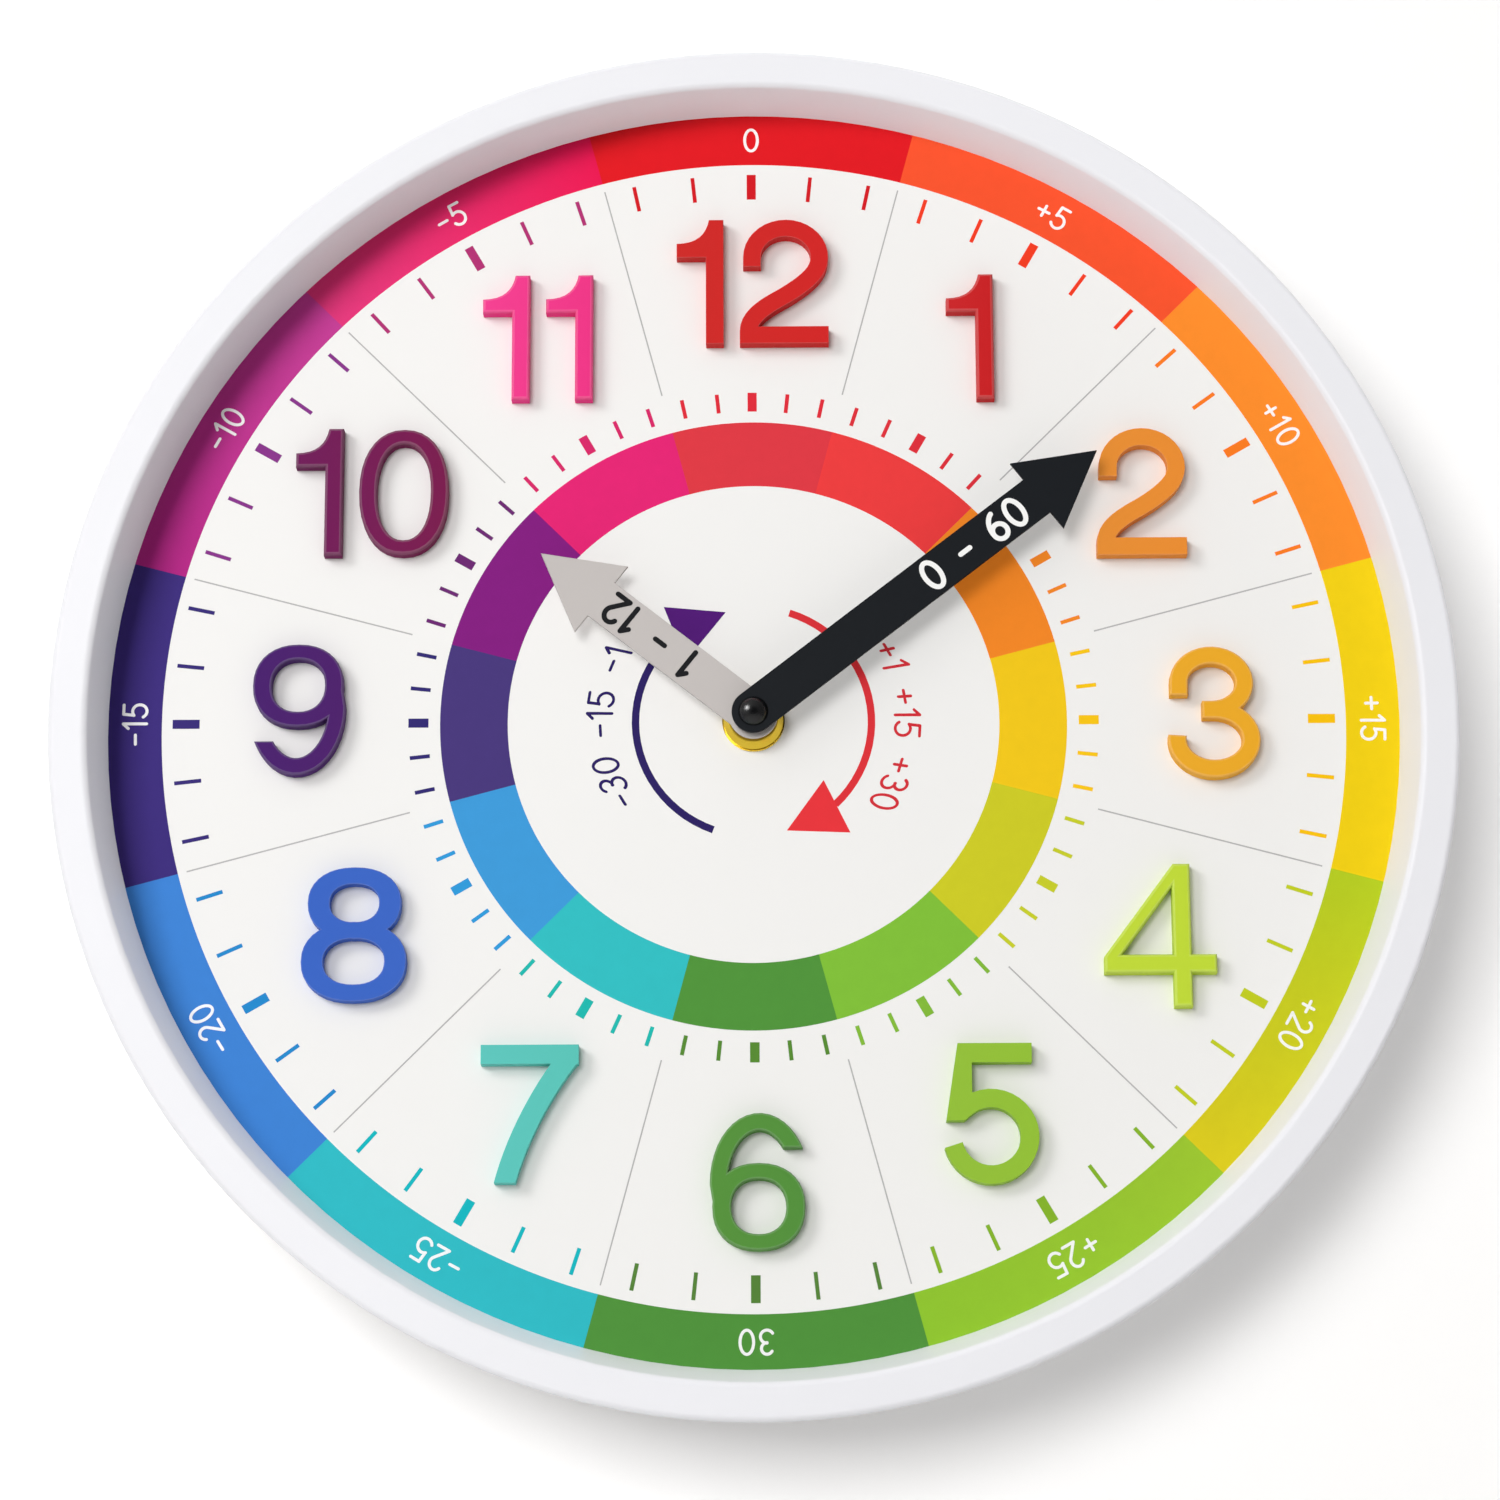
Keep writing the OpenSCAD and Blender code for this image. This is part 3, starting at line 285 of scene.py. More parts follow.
def wound_copper():
    """Enamelled copper wire, with one band of painted shade for each turn."""
    material, tree, shader = new_material(
        "enamelled_copper_wire", Metallic=1.0, Roughness=0.3, Coat_Weight=0.4
    )
    place = add_node(tree, "TexCoord").outputs["Object"]
    scale = per_metre(WIRE_PITCH) / BANDS_PER_UNIT
    turns = add_node(tree, "TexWave", {"Vector": place, "Scale": scale, "Distortion": 0.4})
    # painted shade: the dark brown end of each band stands for the groove between turns
    ends = {MIX_FIRST: linear("#6E3312"), MIX_SECOND: linear("#C8703A")}
    tint = add_node(tree, "Mix", {MIX_SHARE: turns.outputs["Fac"], **ends}, data_type="RGBA")
    tree.links.new(tint.outputs[MIX_RESULT], shader.inputs["Base Color"])
    relief = {"Height": turns.outputs["Fac"], "Strength": 0.7, "Distance": WIRE_RELIEF * MM}
    bump = add_node(tree, "Bump", relief)
    tree.links.new(bump.outputs["Normal"], shader.inputs["Normal"])
    return material


copper_wire = wound_copper()
board_mask = moulded_plastic("green_solder_mask_on_glass_fibre", "#2F6B3C", 0.35, 0.7, 0.01, drift=0.25)
print("winding and board made")

# %% [markdown]
# A dry cell wears a thin shrunk film, printed here in two plain bands: a dark body, and a lighter band
# at the positive end. A colour ramp along the cell's length draws them, with a sharp step between.
# Handling scuffs the film, so a grey noise lies over it, never stronger than an eighth.

# %% Cell
BAND_FROM = 0.68
SCUFF_MM, SCUFF_SHARE = 4.0, 0.12


def two_band_sleeve(node):
    """The printed film on a dry cell: a dark body and a lighter band at its positive end."""
    low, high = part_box(node)
    material, tree, shader = new_material("printed_pvc_sleeve", Roughness=0.28, IOR=1.54, Coat_Weight=0.3)
    place = add_node(tree, "TexCoord").outputs["Object"]
    along = add_node(tree, "SeparateXYZ", {"Vector": place}).outputs["X"]
    share = add_node(tree, "MapRange", {"Value": along, "From Min": low.x, "From Max": high.x})
    bands = add_node(tree, "ValToRGB", {"Fac": share.outputs["Result"]})
    bands.color_ramp.interpolation = "CONSTANT"
    bands.color_ramp.elements[0].color = linear("#23282E")
    bands.color_ramp.elements[1].position = BAND_FROM
    bands.color_ramp.elements[1].color = linear("#C98A3C")
    scuff = add_node(tree, "TexNoise", {"Vector": place, "Scale": per_metre(SCUFF_MM), "Detail": 4.0})
    fade = add_node(tree, "MapRange", {"Value": scuff.outputs["Fac"], "To Min": 0.0, "To Max": SCUFF_SHARE})
    ends = {MIX_FIRST: bands.outputs["Color"], MIX_SECOND: linear("#3A3F45")}
    worn = add_node(tree, "Mix", {MIX_SHARE: fade.outputs["Result"], **ends}, data_type="RGBA")
    tree.links.new(worn.outputs[MIX_RESULT], shader.inputs["Base Color"])
    return material


cell_sleeve = two_band_sleeve("battery")
print("sleeve made:", cell_sleeve.name)

# %% [markdown]
# The raised numerals are the eye-catcher: figures cut from coloured acrylic sheet. Acrylic has a deep, even
# colour, and a sheet that is dyed in one run drifts a little from one side to the other, so each figure has
# a colour for its left and one for its right. A second material keeps the same hue with some white in it,
# for the rounded front edges: a painted highlight that draws a light line round each figure.

# %% Numeral acrylics
NUMERAL_COLOURS = {
    1: ("#CA2226", "#C61A1E"),
    2: ("#E78E32", "#E98C30"),
    3: ("#EBA927", "#EBA925"),
    4: ("#C0D938", "#BFD937"),
    5: ("#92BE38", "#92BF35"),
    6: ("#549039", "#518E39"),
    7: ("#5BC4BB", "#58C2B6"),
    8: ("#3562C2", "#3763C2"),
    9: ("#44126A", "#481267"),
    10: ("#6C0C55", "#770B49"),
    11: ("#F03A8E", "#EB3083"),
    12: ("#CB2421", "#D02120"),
}
# painted highlight: the share of white in the numerals' edge material
PAINTED_EDGE_HIGHLIGHT = 0.06
FACE_SHINE, EDGE_SHINE = 0.08, 0.12
HAZE_MM = 2.2


def numeral_name(hour):
    """The name of the CAD node of an hour's numeral."""
    return "numeral_" + str(hour)


def coloured_acrylic(name, hour, painted_highlight_share, shine):
    """Dyed acrylic, its colour running from the figure's left to its right, with a share of white as
    painted highlight.
    """
    material, tree, shader = new_material(name + "_" + str(hour), IOR=1.49, Specular_IOR_Level=shine)
    low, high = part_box(numeral_name(hour))
    place = add_node(tree, "TexCoord").outputs["Object"]
    across = add_node(tree, "SeparateXYZ", {"Vector": place}).outputs["X"]
    share = add_node(tree, "MapRange", {"Value": across, "From Min": low.x, "From Max": high.x})
    left, right = [blend_colours(linear(colour), WHITE, painted_highlight_share) for colour in NUMERAL_COLOURS[hour]]
    ends = {MIX_FIRST: left, MIX_SECOND: right}
    tint = add_node(tree, "Mix", {MIX_SHARE: share.outputs["Result"], **ends}, data_type="RGBA")
    tree.links.new(tint.outputs[MIX_RESULT], shader.inputs["Base Color"])
    haze = add_node(tree, "TexNoise", {"Vector": place, "Scale": per_metre(HAZE_MM), "Detail": 3.0})
    leave_marks(tree, shader, haze.outputs["Fac"], 0.5, spread=0.08, strength=0.5, depth_mm=0.004)
    return material


numeral_acrylics = {
    hour: coloured_acrylic("coloured_acrylic", hour, 0.0, FACE_SHINE) for hour in NUMERAL_COLOURS
}
# paler copies for the rounded edges: a painted highlight line round each figure
numeral_highlight_edges = {
    hour: coloured_acrylic("acrylic_edge_painted_highlight", hour, PAINTED_EDGE_HIGHLIGHT, EDGE_SHINE) for hour in NUMERAL_COLOURS
}
print("acrylics:", len(numeral_acrylics) + len(numeral_highlight_edges))

# %% [markdown]
# Now each CAD node gets its material. A dictionary from material to nodes keeps that readable, and a
# check at the end makes sure that no node was forgotten.

# %% Give every CAD node its material
FINISHES = {
    case_abs: ["case_rim"],
    cover_abs: ["back_cover"],
    zinc_steel: ["case_screws"],
    dial_sheet: ["dial_plate"],
    movement_abs: ["movement_front", "movement_back", "middle_plate", "setting_knob"],
    turned_brass: ["spindle_bush", "washer", "round_nut", "minute_arbor"],
    rubber: ["gasket"],
    nickel_steel: ["clutch_spring", "contact_positive", "contact_negative"],
    gear_acetal: [
        "centre_wheel",
        "hour_wheel",
        "motion_wheel",
        "third_wheel",
        "seconds_wheel",
        "intermediate_wheel",
    ],
    ferrite: ["rotor"],
    core_steel: ["stator"],
    copper_wire: ["coil"],
    board_mask: ["circuit_board"],
    cell_sleeve: ["battery"],
    cap_abs: ["hand_cap"],
    minute_paint: ["minute_hand"],
    hour_paint: ["hour_hand"],
}
for hour, acrylic in numeral_acrylics.items():
    FINISHES[acrylic] = [numeral_name(hour)]


def dress(node_name, material):
    """Puts one material on a CAD node, in place of the plain one that it came with."""
    mesh = nodes[node_name].data
    mesh.materials.clear()
    mesh.materials.append(material)


for material, names in FINISHES.items():
    for node_name in names:
        dress(node_name, material)
bare = set(nodes) - {name for names in FINISHES.values() for name in names}
print("nodes without a finish:", sorted(bare))

# %% [markdown]
# No moulded or cut edge is truly sharp, and the tiny rounding catches the light and draws a bright line
# round each numeral. Modifiers can add it without a change to the CAD mesh's own points. A weld joins the
# faces, a planar decimate removes the triangles' inner edges, and then a bevel rounds only the edges that
# have a weight. These are the front's outline: an edge that lies in the front's plane and also belongs to a
# side wall. On a numeral the rounding also wears a paler copy of its acrylic, a painted highlight that
# brightens that line.

# %% Rounded front edges
ON_FRONT = 0.02 * MM
WELD_GAP = 0.001 * MM
FLAT_WITHIN = math.radians(1)
NUMERAL_EDGE = 0.6


def mark_outline(mesh, front):
    """Gives a bevel weight to the edges where the flat face at Y = front meets the side walls."""
    spots = [tuple(round(c, 6) for c in v.co) for v in mesh.vertices]
    on_front = [abs(v.co.y - front) < ON_FRONT for v in mesh.vertices]
    outline = set()
    for wall in mesh.polygons:
        if not all(on_front[i] for i in wall.vertices):
            shared = [(i, j) for i, j in wall.edge_keys if on_front[i] and on_front[j]]
            outline |= {frozenset((spots[i], spots[j])) for i, j in shared}
    weights = mesh.attributes.new("bevel_weight_edge", "FLOAT", "EDGE")
    for edge in mesh.edges:
        weights.data[edge.index].value = float(frozenset(spots[i] for i in edge.vertices) in outline)


def round_front(node_name, front, width_mm, edge_material=None):
    """Rounds the outline of a node's flat face at Y = front by that width."""
    node = nodes[node_name]
    mark_outline(node.data, front)
    weld = node.modifiers.new("weld", "WELD")
    weld.merge_threshold = WELD_GAP
    flat = node.modifiers.new("flat", "DECIMATE")
    flat.decimate_type = "DISSOLVE"
    flat.angle_limit = FLAT_WITHIN
    bevel = node.modifiers.new("bevel", "BEVEL")
    bevel.limit_method = "WEIGHT"
    bevel.width = width_mm * MM
    bevel.segments = 2
    bevel.harden_normals = True
    if edge_material:
        node.data.materials.append(edge_material)
        bevel.material = 1


# the rounding wears the paler copy, a painted highlight along each figure's outline
for hour, edge in numeral_highlight_edges.items():
    round_front(numeral_name(hour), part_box(numeral_name(hour))[0].y, NUMERAL_EDGE, edge)
print("front edges rounded")

# %% [markdown]
# The print on a dial like this is screen printed: ink is pressed through a mesh and dries to a dense,
# nearly matt film with a faint mottle. One material does for every colour, because it reads the colour
# from the mesh itself, where each point of a printed mark carries its ink as an attribute.

# %% Printing ink
MOTTLE_MM, MOTTLE = 2.5, 0.03


def screen_ink(name, roughness):
    """Screen printing ink, coloured by the mesh's own ink colours, with the mottle of a drying film."""
    material, tree, shader = new_material(name, IOR=1.5, Roughness=roughness, Specular_IOR_Level=0.1)
    colour = add_node(tree, "Attribute", attribute_name="ink").outputs["Color"]
    place = add_node(tree, "TexCoord").outputs["Object"]
    mottle = add_node(tree, "TexNoise", {"Vector": place, "Scale": per_metre(MOTTLE_MM), "Detail": 3.0})
    reach = {"To Min": 1 - MOTTLE, "To Max": 1 + MOTTLE}
    shade = add_node(tree, "MapRange", {"Value": mottle.outputs["Fac"], **reach})
    film = add_node(tree, "VectorMath", {0: colour, "Scale": shade.outputs["Result"]}, operation="SCALE")
    tree.links.new(film.outputs["Vector"], shader.inputs["Base Color"])
    return material


dial_ink = screen_ink("screen_printing_ink", 0.62)
print("ink made:", dial_ink.name)

# %% [markdown]
# The ink is a few hundredths of a millimetre thick. It could be painted by the dial's shader, but then
# its edges would blur in a close view, and an exported mesh would lose them. So each printed mark is a
# thin closed strip of mesh that lies on the sheet. Every mark here is a strip: a ring's segment is a
# strip along an arc, a tick is a short straight one, and a figure's stroke is a narrow one with round
# ends. A strip is a list of pairs of points, its two edges, and one function turns the pairs into a thin
# solid with a colour at each pair.

# %% Strips of ink
INK = 0.03 * MM
printed = {}


def same_place(one, other):
    """Whether two flat points, in millimetres, are one."""
    return (Vector(one) - Vector(other)).length < 1e-6


def lay_strip(bm, inks, pairs, face, colours):
    """Adds one thin solid strip. pairs holds (left, right) edge points, and colours one colour for each.

    A strip whose last pair is its first one again becomes a ring. Any other gets an end face at each end.
    """
    closed = same_place(pairs[0][0], pairs[-1][0])
    if closed:
        pairs = pairs[:-1]
    rows = []
    for (left, right), colour in zip(pairs, colours):
        places = [in_frame(*point, y) for y in (face - INK, face) for point in (left, right)]
        corners = [bm.verts.new(place) for place in places]
        for corner in corners:
            corner[inks] = colour
        rows.append(corners)
    for here, there in zip(rows, rows[1:] + (rows[:1] if closed else [])):
        for a, b in ((0, 1), (1, 3), (3, 2), (2, 0)):
            bm.faces.new((here[a], here[b], there[b], there[a]))
    if not closed:
        for end in (rows[0], rows[-1]):
            bm.faces.new((end[0], end[1], end[3], end[2]))


def print_piece(name, strips, body="root"):
    """Makes one object out of strips, each of pairs, face and colours, and lets it ride on a body."""
    bm = bmesh.new()
    inks = bm.verts.layers.float_color.new("ink")
    for pairs, face, colours in strips:
        lay_strip(bm, inks, pairs, face, colours)
    bmesh.ops.recalc_face_normals(bm, faces=bm.faces)
    mesh = bpy.data.meshes.new(name)
    bm.to_mesh(mesh)
    bm.free()
    mesh.materials.append(dial_ink)
    piece = bpy.data.objects.new(name, mesh)
    bpy.context.scene.collection.objects.link(piece)
    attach(piece, body)
    printed[name] = piece
    print(name, "has", len(mesh.polygons), "faces")


print("the ink is", round(INK / MM, 3), "mm thick")

# %% [markdown]
# The outer ring has twelve segments, one for each five minutes, with boundaries halfway between the
# hours, and it ends where the rim's inner wall meets the dial. Some segments run from one hue into the
# next, so each has a colour at its start and at its end. The inner ring has nearly the same colours,
# plain. Both lists start at twelve.

# %% Coloured rings
VIEW_RADIUS = 138.4
OUTER_RING = (126.9, VIEW_RADIUS)
INNER_RING = (52.7, 67.2)
HOUR_ANGLE = 30
OUTER_COLOURS = [
    ("#DD141E", "#DD141E"),
    ("#F4522B", "#F4522B"),
    ("#FA8C2A", "#FA8C2A"),
    ("#F2D00F", "#F2D00F"),
    ("#B5CC20", "#DCCB1C"),
    ("#9CC630", "#8FC42F"),
    ("#4F913B", "#4F913B"),
    ("#2FB9C3", "#2FB9C3"),
    ("#3C80D0", "#3C80D0"),
    ("#3A2A78", "#3A2A78"),
    ("#AE2380", "#BE3A90"),
    ("#DC3478", "#E5104F"),
]
INNER_COLOURS = [
    "#DD3742",
    "#EC3B3C",
    "#F48722",
    "#F3C814",
    "#CDCB22",
    "#80BF37",
    "#4F9339",
    "#30BEC2",
    "#3C99D8",
    "#46357A",
    "#82167E",
    "#E42073",
]


def ring_segment(radii, hour, start, end):
    """One segment of a ring, centred on its hour, as a strip with a degree between its pairs."""
    shares = [degree / HOUR_ANGLE for degree in range(HOUR_ANGLE + 1)]
    angles = [(hour - 0.5 + share) * HOUR_ANGLE for share in shares]
    pairs = [(polar(radii[0], a), polar(radii[1], a)) for a in angles]
    return pairs, dial_face, [blend_colours(linear(start), linear(end), s) for s in shares]


print_piece(
    "outer_ring_print",
    [ring_segment(OUTER_RING, hour, *colours) for hour, colours in enumerate(OUTER_COLOURS)],
)
print_piece(
    "inner_ring_print",
    [ring_segment(INNER_RING, hour, colour, colour) for hour, colour in enumerate(INNER_COLOURS)],
)

# %% [markdown]
# Each five minutes has five ticks, a thick one on the hour and two thin ones on each side. There is one
# set inside the outer ring and one around the inner ring. The ticks are a second printing, so their
# colours only nearly match the rings'. Thin grey lines part the hours.

# %% Ticks and dividing lines
OUTER_TICKS = (118.8, 124.6)
INNER_TICKS = (69.7, 74.0)
DIVIDERS = (76.0, 125.0)
MINUTE_ANGLE = 6
THIN_TICK, THICK_TICK, DIVIDER_WIDTH = 0.85, 2.0, 0.3
DIVIDER_GREY = "#B4B2B2"
OUTER_TICK_COLOURS = [
    "#D2131F",
    "#F23A1C",
    "#FA7B1C",
    "#F9C200",
    "#C2CD1C",
    "#85B328",
    "#548237",
    "#0AB5BF",
    "#1F88CC",
    "#372A76",
    "#873289",
    "#B02F72",
]
INNER_TICK_COLOURS = [
    "#DE2838",
    "#DC2B38",
    "#F48722",
    "#F9C60E",
    "#C7CD26",
    "#83BA38",
    "#568A31",
    "#1BB8AF",
    "#2C99D9",
    "#2F2670",
    "#6A2470",
    "#D62468",
]


def radial_strip(radii, degrees, width, colour):
    """A straight mark that points at the spindle, from one radius to the other."""
    side_x, side_y = polar(width / 2, degrees + 90)
    spine = [polar(radius, degrees) for radius in radii]
    pairs = [((x - side_x, y - side_y), (x + side_x, y + side_y)) for x, y in spine]
    return pairs, dial_face, [linear(colour)] * 2


def ticks(radii, colours):
    """Sixty ticks, thick on the hours, with one colour for each hour's five."""
    strips = []
    for hour, colour in enumerate(colours):
        for minute in range(-2, 3):
            angle = hour * HOUR_ANGLE + minute * MINUTE_ANGLE
            strips.append(radial_strip(radii, angle, THIN_TICK if minute else THICK_TICK, colour))
    return strips


print_piece("outer_ticks_print", ticks(OUTER_TICKS, OUTER_TICK_COLOURS))
print_piece("inner_ticks_print", ticks(INNER_TICKS, INNER_TICK_COLOURS))
print_piece(
    "divider_print",
    [radial_strip(DIVIDERS, (hour + 0.5) * HOUR_ANGLE, DIVIDER_WIDTH, DIVIDER_GREY) for hour in range(12)],
)

# %% [markdown]
# Two curved arrows around the centre tell the pupil which way to count: a red one down the right for the
# minutes past the hour, a violet one up the left for the minutes to it. An arrow is a strip along an
# arc, and a head with three corners, each given by its radius and angle. The head's base leans back a
# little on its outer side. The shaft runs a degree into the head, which is printed over it.

# %% Curved arrows
ARROW_RADIUS, ARROW_WIDTH = 25.3, 1.6
HEAD_INNER, HEAD_OUTER, HEAD_TIP = 19.8, 32.0, 25.0
TIP_WIDTH = 0.1
SHAFT_STEPS = 24
HEAD_LIFT = INK / 4


def across_arrow(middle, width, degrees):
    """The pair of points across an arrow, at a radius and an angle."""
    return polar(middle - width / 2, degrees), polar(middle + width / 2, degrees)


def curved_arrow(start, inner, outer, tip, shaft_colour, head_colour):
    """A clockwise arrow from the angle start, its head's corners at three angles, as two strips."""
    shaft_end = (inner + outer) / 2 + 1
    angles = [start + (shaft_end - start) * i / SHAFT_STEPS for i in range(SHAFT_STEPS + 1)]
    shaft = [across_arrow(ARROW_RADIUS, ARROW_WIDTH, angle) for angle in angles]
    head = [(polar(HEAD_INNER, inner), polar(HEAD_OUTER, outer)), across_arrow(HEAD_TIP, TIP_WIDTH, tip)]
    return [
        (shaft, dial_face, [linear(shaft_colour)] * len(shaft)),
        (head, dial_face - HEAD_LIFT, [linear(head_colour)] * len(head)),
    ]


past_arrow = curved_arrow(
    start=18, inner=131, outer=140, tip=163.5, shaft_colour="#DE3038", head_colour="#E8333A"
)
to_arrow = curved_arrow(
    start=200, inner=313, outer=323, tip=346.2, shaft_colour="#2A1C60", head_colour="#501275"
)
print_piece("past_arrow_print", past_arrow)
print_piece("to_arrow_print", to_arrow)

# %% [markdown]
# The figures are drawn like a sign writer's: each stroke is a line or part of an ellipse, followed by a
# round pen. A figure is its width and its strokes, and a stroke is a list of points in a box one unit
# high.

# %% Figures
def bow(centre, radii, start, end, count=16):
    """Points along part of an ellipse, from one angle to another, counted in degrees from the right."""
    turns = [math.radians(start + (end - start) * i / count) for i in range(count + 1)]
    return [(centre[0] + radii[0] * math.cos(t), centre[1] + radii[1] * math.sin(t)) for t in turns]


FIGURES = {
    "0": (0.64, [bow((0.32, 0.5), (0.28, 0.5), 90, 450, 32)]),
    "1": (0.34, [[(0.04, 0.78), (0.24, 1.0)], [(0.24, 1.0), (0.24, 0.0)]]),
    "2": (
        0.60,
        [bow((0.29, 0.72), (0.25, 0.28), 155, -38) + [(0.04, 0.0)], [(0.04, 0.0), (0.57, 0.0)]],
    ),
    "3": (
        0.56,
        [bow((0.25, 0.76), (0.23, 0.24), 150, -90), bow((0.25, 0.27), (0.27, 0.27), 90, -150)],
    ),
    "5": (
        0.58,
        [
            [(0.52, 1.0), (0.12, 1.0)],
            [(0.12, 1.0), (0.08, 0.56)],
            bow((0.25, 0.31), (0.29, 0.31), 128, -150),
        ],
    ),
    "6": (
        0.60,
        [bow((0.58, 0.34), (0.54, 0.66), 108, 180), bow((0.30, 0.28), (0.26, 0.28), -180, 180, 32)],
    ),
    "+": (0.62, [[(0.06, 0.47), (0.56, 0.47)], [(0.31, 0.22), (0.31, 0.72)]]),
    "-": (0.50, [[(0.05, 0.47), (0.45, 0.47)]]),
    " ": (0.45, []),
}
FIGURE_GAP = 0.20
print("figures:", "".join(FIGURES))

# %% [markdown]
# The pen turns a stroke's points into a strip. At each point it lays a pair to the left and right of the
# way that the stroke takes there. An open stroke also gets the pen's half circles at its ends, as
# narrower and narrower pairs. The last one stops short of the circle's top, so that its two points never
# fall into one.

# %% Round pen
CAP_ANGLES = (18, 36, 54, 72, 86.4)


def pen_pair(centre, along, half):
    """The pair of points at the left and right of a centre, for a way along the stroke."""
    side = Vector((-along.y, along.x)).normalized() * half
    return centre + side, centre - side


def pen_cap(point, outward, order, half):
    """The pairs of the pen's half circle at an open end. order is -1 at a stroke's start, 1 at its end."""
    pairs = []
    for turn in (math.radians(angle) for angle in CAP_ANGLES):
        centre = point + outward * half * math.sin(turn)
        pairs.append(pen_pair(centre, outward * order, half * math.cos(turn)))
    return pairs


def pen_strip(points, width):
    """The pairs of a stroke drawn with a round pen, in the same flat units as its points."""
    half = width / 2
    spots = [Vector(point) for point in points]
    last = len(spots) - 1
    closed = same_place(points[0], points[-1])
    pairs = []
    for i, spot in enumerate(spots):
        before = spots[last - 1 if closed and i == 0 else max(i - 1, 0)]
        after = spots[1 if closed and i == last else min(i + 1, last)]
        pairs.append(pen_pair(spot, after - before, half))
    if closed:
        return pairs
    start_cap = pen_cap(spots[0], (spots[0] - spots[1]).normalized(), -1, half)
    end_cap = pen_cap(spots[-1], (spots[-1] - spots[-2]).normalized(), 1, half)
    return start_cap[::-1] + pairs + end_cap


print("a straight stroke has", len(pen_strip([(0, 0), (0, 1)], 0.1)), "pairs")

# %% [markdown]
# To set a line of figures on the dial or on a hand, its points go through a placing function. One bends
# the line around the spindle, with the tops outward, and one lays it along a hand. Strokes of one figure
# cross each other, so each lies a little higher than the one before, and no two faces fight for the same
# place.

# %% Lines of figures
STROKE_LIFT = INK / 5


def write(text, height, pen, place, face, colour):
    """The strips of a line of figures, centred on the placing function's zero."""
    total = sum(FIGURES[c][0] for c in text) + FIGURE_GAP * (len(text) - 1)
    strips, reach = [], -total / 2
    for character in text:
        width, strokes = FIGURES[character]
        for layer, stroke in enumerate(strokes):
            flat = [((x + reach) * height, y * height) for x, y in stroke]
            pairs = [(place(*left), place(*right)) for left, right in pen_strip(flat, pen)]
            strips.append((pairs, face - layer * STROKE_LIFT, [colour] * len(pairs)))
        reach += width + FIGURE_GAP
    return strips


def around(radius, degrees):
    """Places text around the spindle, its middle at that angle and its baseline at that radius."""
    return lambda x, y: polar(radius + y, degrees + math.degrees(x / (radius + y / 2)))


def along_hand(degrees, distance, height):
    """Places text of that height along a hand, from the hub to the tip, its middle at that distance."""
    out, left = polar(1, degrees), polar(1, degrees - 90)
    return lambda x, y: tuple((distance + x) * o + (y - height / 2) * s for o, s in zip(out, left))


print("zero on the ring at twelve is set to", around(130, 0)(0, 0))

# %% [markdown]
# Each place that carries print on such a clock gets plain numbers here. In the outer ring they count the
# minutes, with a plus for those past the hour and a minus for those to it. Around the centre each arrow
# has its first, middle and last minute. White ink is thin, so a little of the ring's colour shows
# through its numbers.

# %% Numbers on the dial
RING_NUMBERS = ["0", "+5", "+10", "+15", "+20", "+25", "30", "-25", "-20", "-15", "-10", "-5"]
RING_TEXT_HEIGHT, RING_PEN = 5.0, 0.64
RING_BASELINE = 130.2
THIN_WHITE = 0.08
CENTRE_TEXT_HEIGHT, CENTRE_PEN = 5.3, 0.62
CENTRE_BASELINE = 30.4
PAST_MIDDLE, TO_MIDDLE = 92, 268


def ring_number(hour, number):
    """One number on the outer ring's ink, in white that lets a little of the ring through."""
    white = blend_colours(linear("#FBFAFA"), linear(OUTER_COLOURS[hour][0]), THIN_WHITE)
    place = around(RING_BASELINE, hour * HOUR_ANGLE)
    return write(number, RING_TEXT_HEIGHT, RING_PEN, place, dial_face - INK, white)


def centre_numbers(text, middle, colour):
    """A line of numbers outside a curved arrow, with its middle at that angle."""
    place = around(CENTRE_BASELINE, middle)
    return write(text, CENTRE_TEXT_HEIGHT, CENTRE_PEN, place, dial_face, linear(colour))


print_piece(
    "ring_numbers_print",
    [strip for hour, number in enumerate(RING_NUMBERS) for strip in ring_number(hour, number)],
)
print_piece("past_numbers_print", centre_numbers("+1 +15 +30", PAST_MIDDLE, "#D22C37"))
print_piece("to_numbers_print", centre_numbers("-30 -15 -1", TO_MIDDLE, "#2A1C60"))

# %% [markdown]
# The hands carry the range that they count through. A hand's sheet is flat but its hub is raised, so the
# print goes on the sheet's own face. That face is found in the node's mesh: it is the front of the part
# that lies furthest from the spindle. The press that cuts a hand leaves its front edge slightly rounded,
# so the same outline bevel follows, with a finer width.

# %% Numbers on the hands
HAND_TEXT_HEIGHT, HAND_PEN = 6.2, 1.1
PRESSED_EDGE = 0.12
AT_TIP, ON_SHEET = 0.999, 0.6


def sheet_face(node_name):
    """Y of a hand's flat front, the clock angle at which the hand points, and its reach in metres.

    What lies further out than the share AT_TIP of the reach is the tip, and than ON_SHEET the flat sheet.
    """
    points = [(v.co - spindle, v.co.y) for v in nodes[node_name].data.vertices]
    distances = [math.hypot(way.x, way.z) for way, _ in points]
    reach = max(distances)
    tip = [way for (way, _), d in zip(points, distances) if d > reach * AT_TIP][0]
    front = min(y for (_, y), d in zip(points, distances) if d > reach * ON_SHEET)
    return front, math.degrees(math.atan2(tip.x, tip.z)), reach


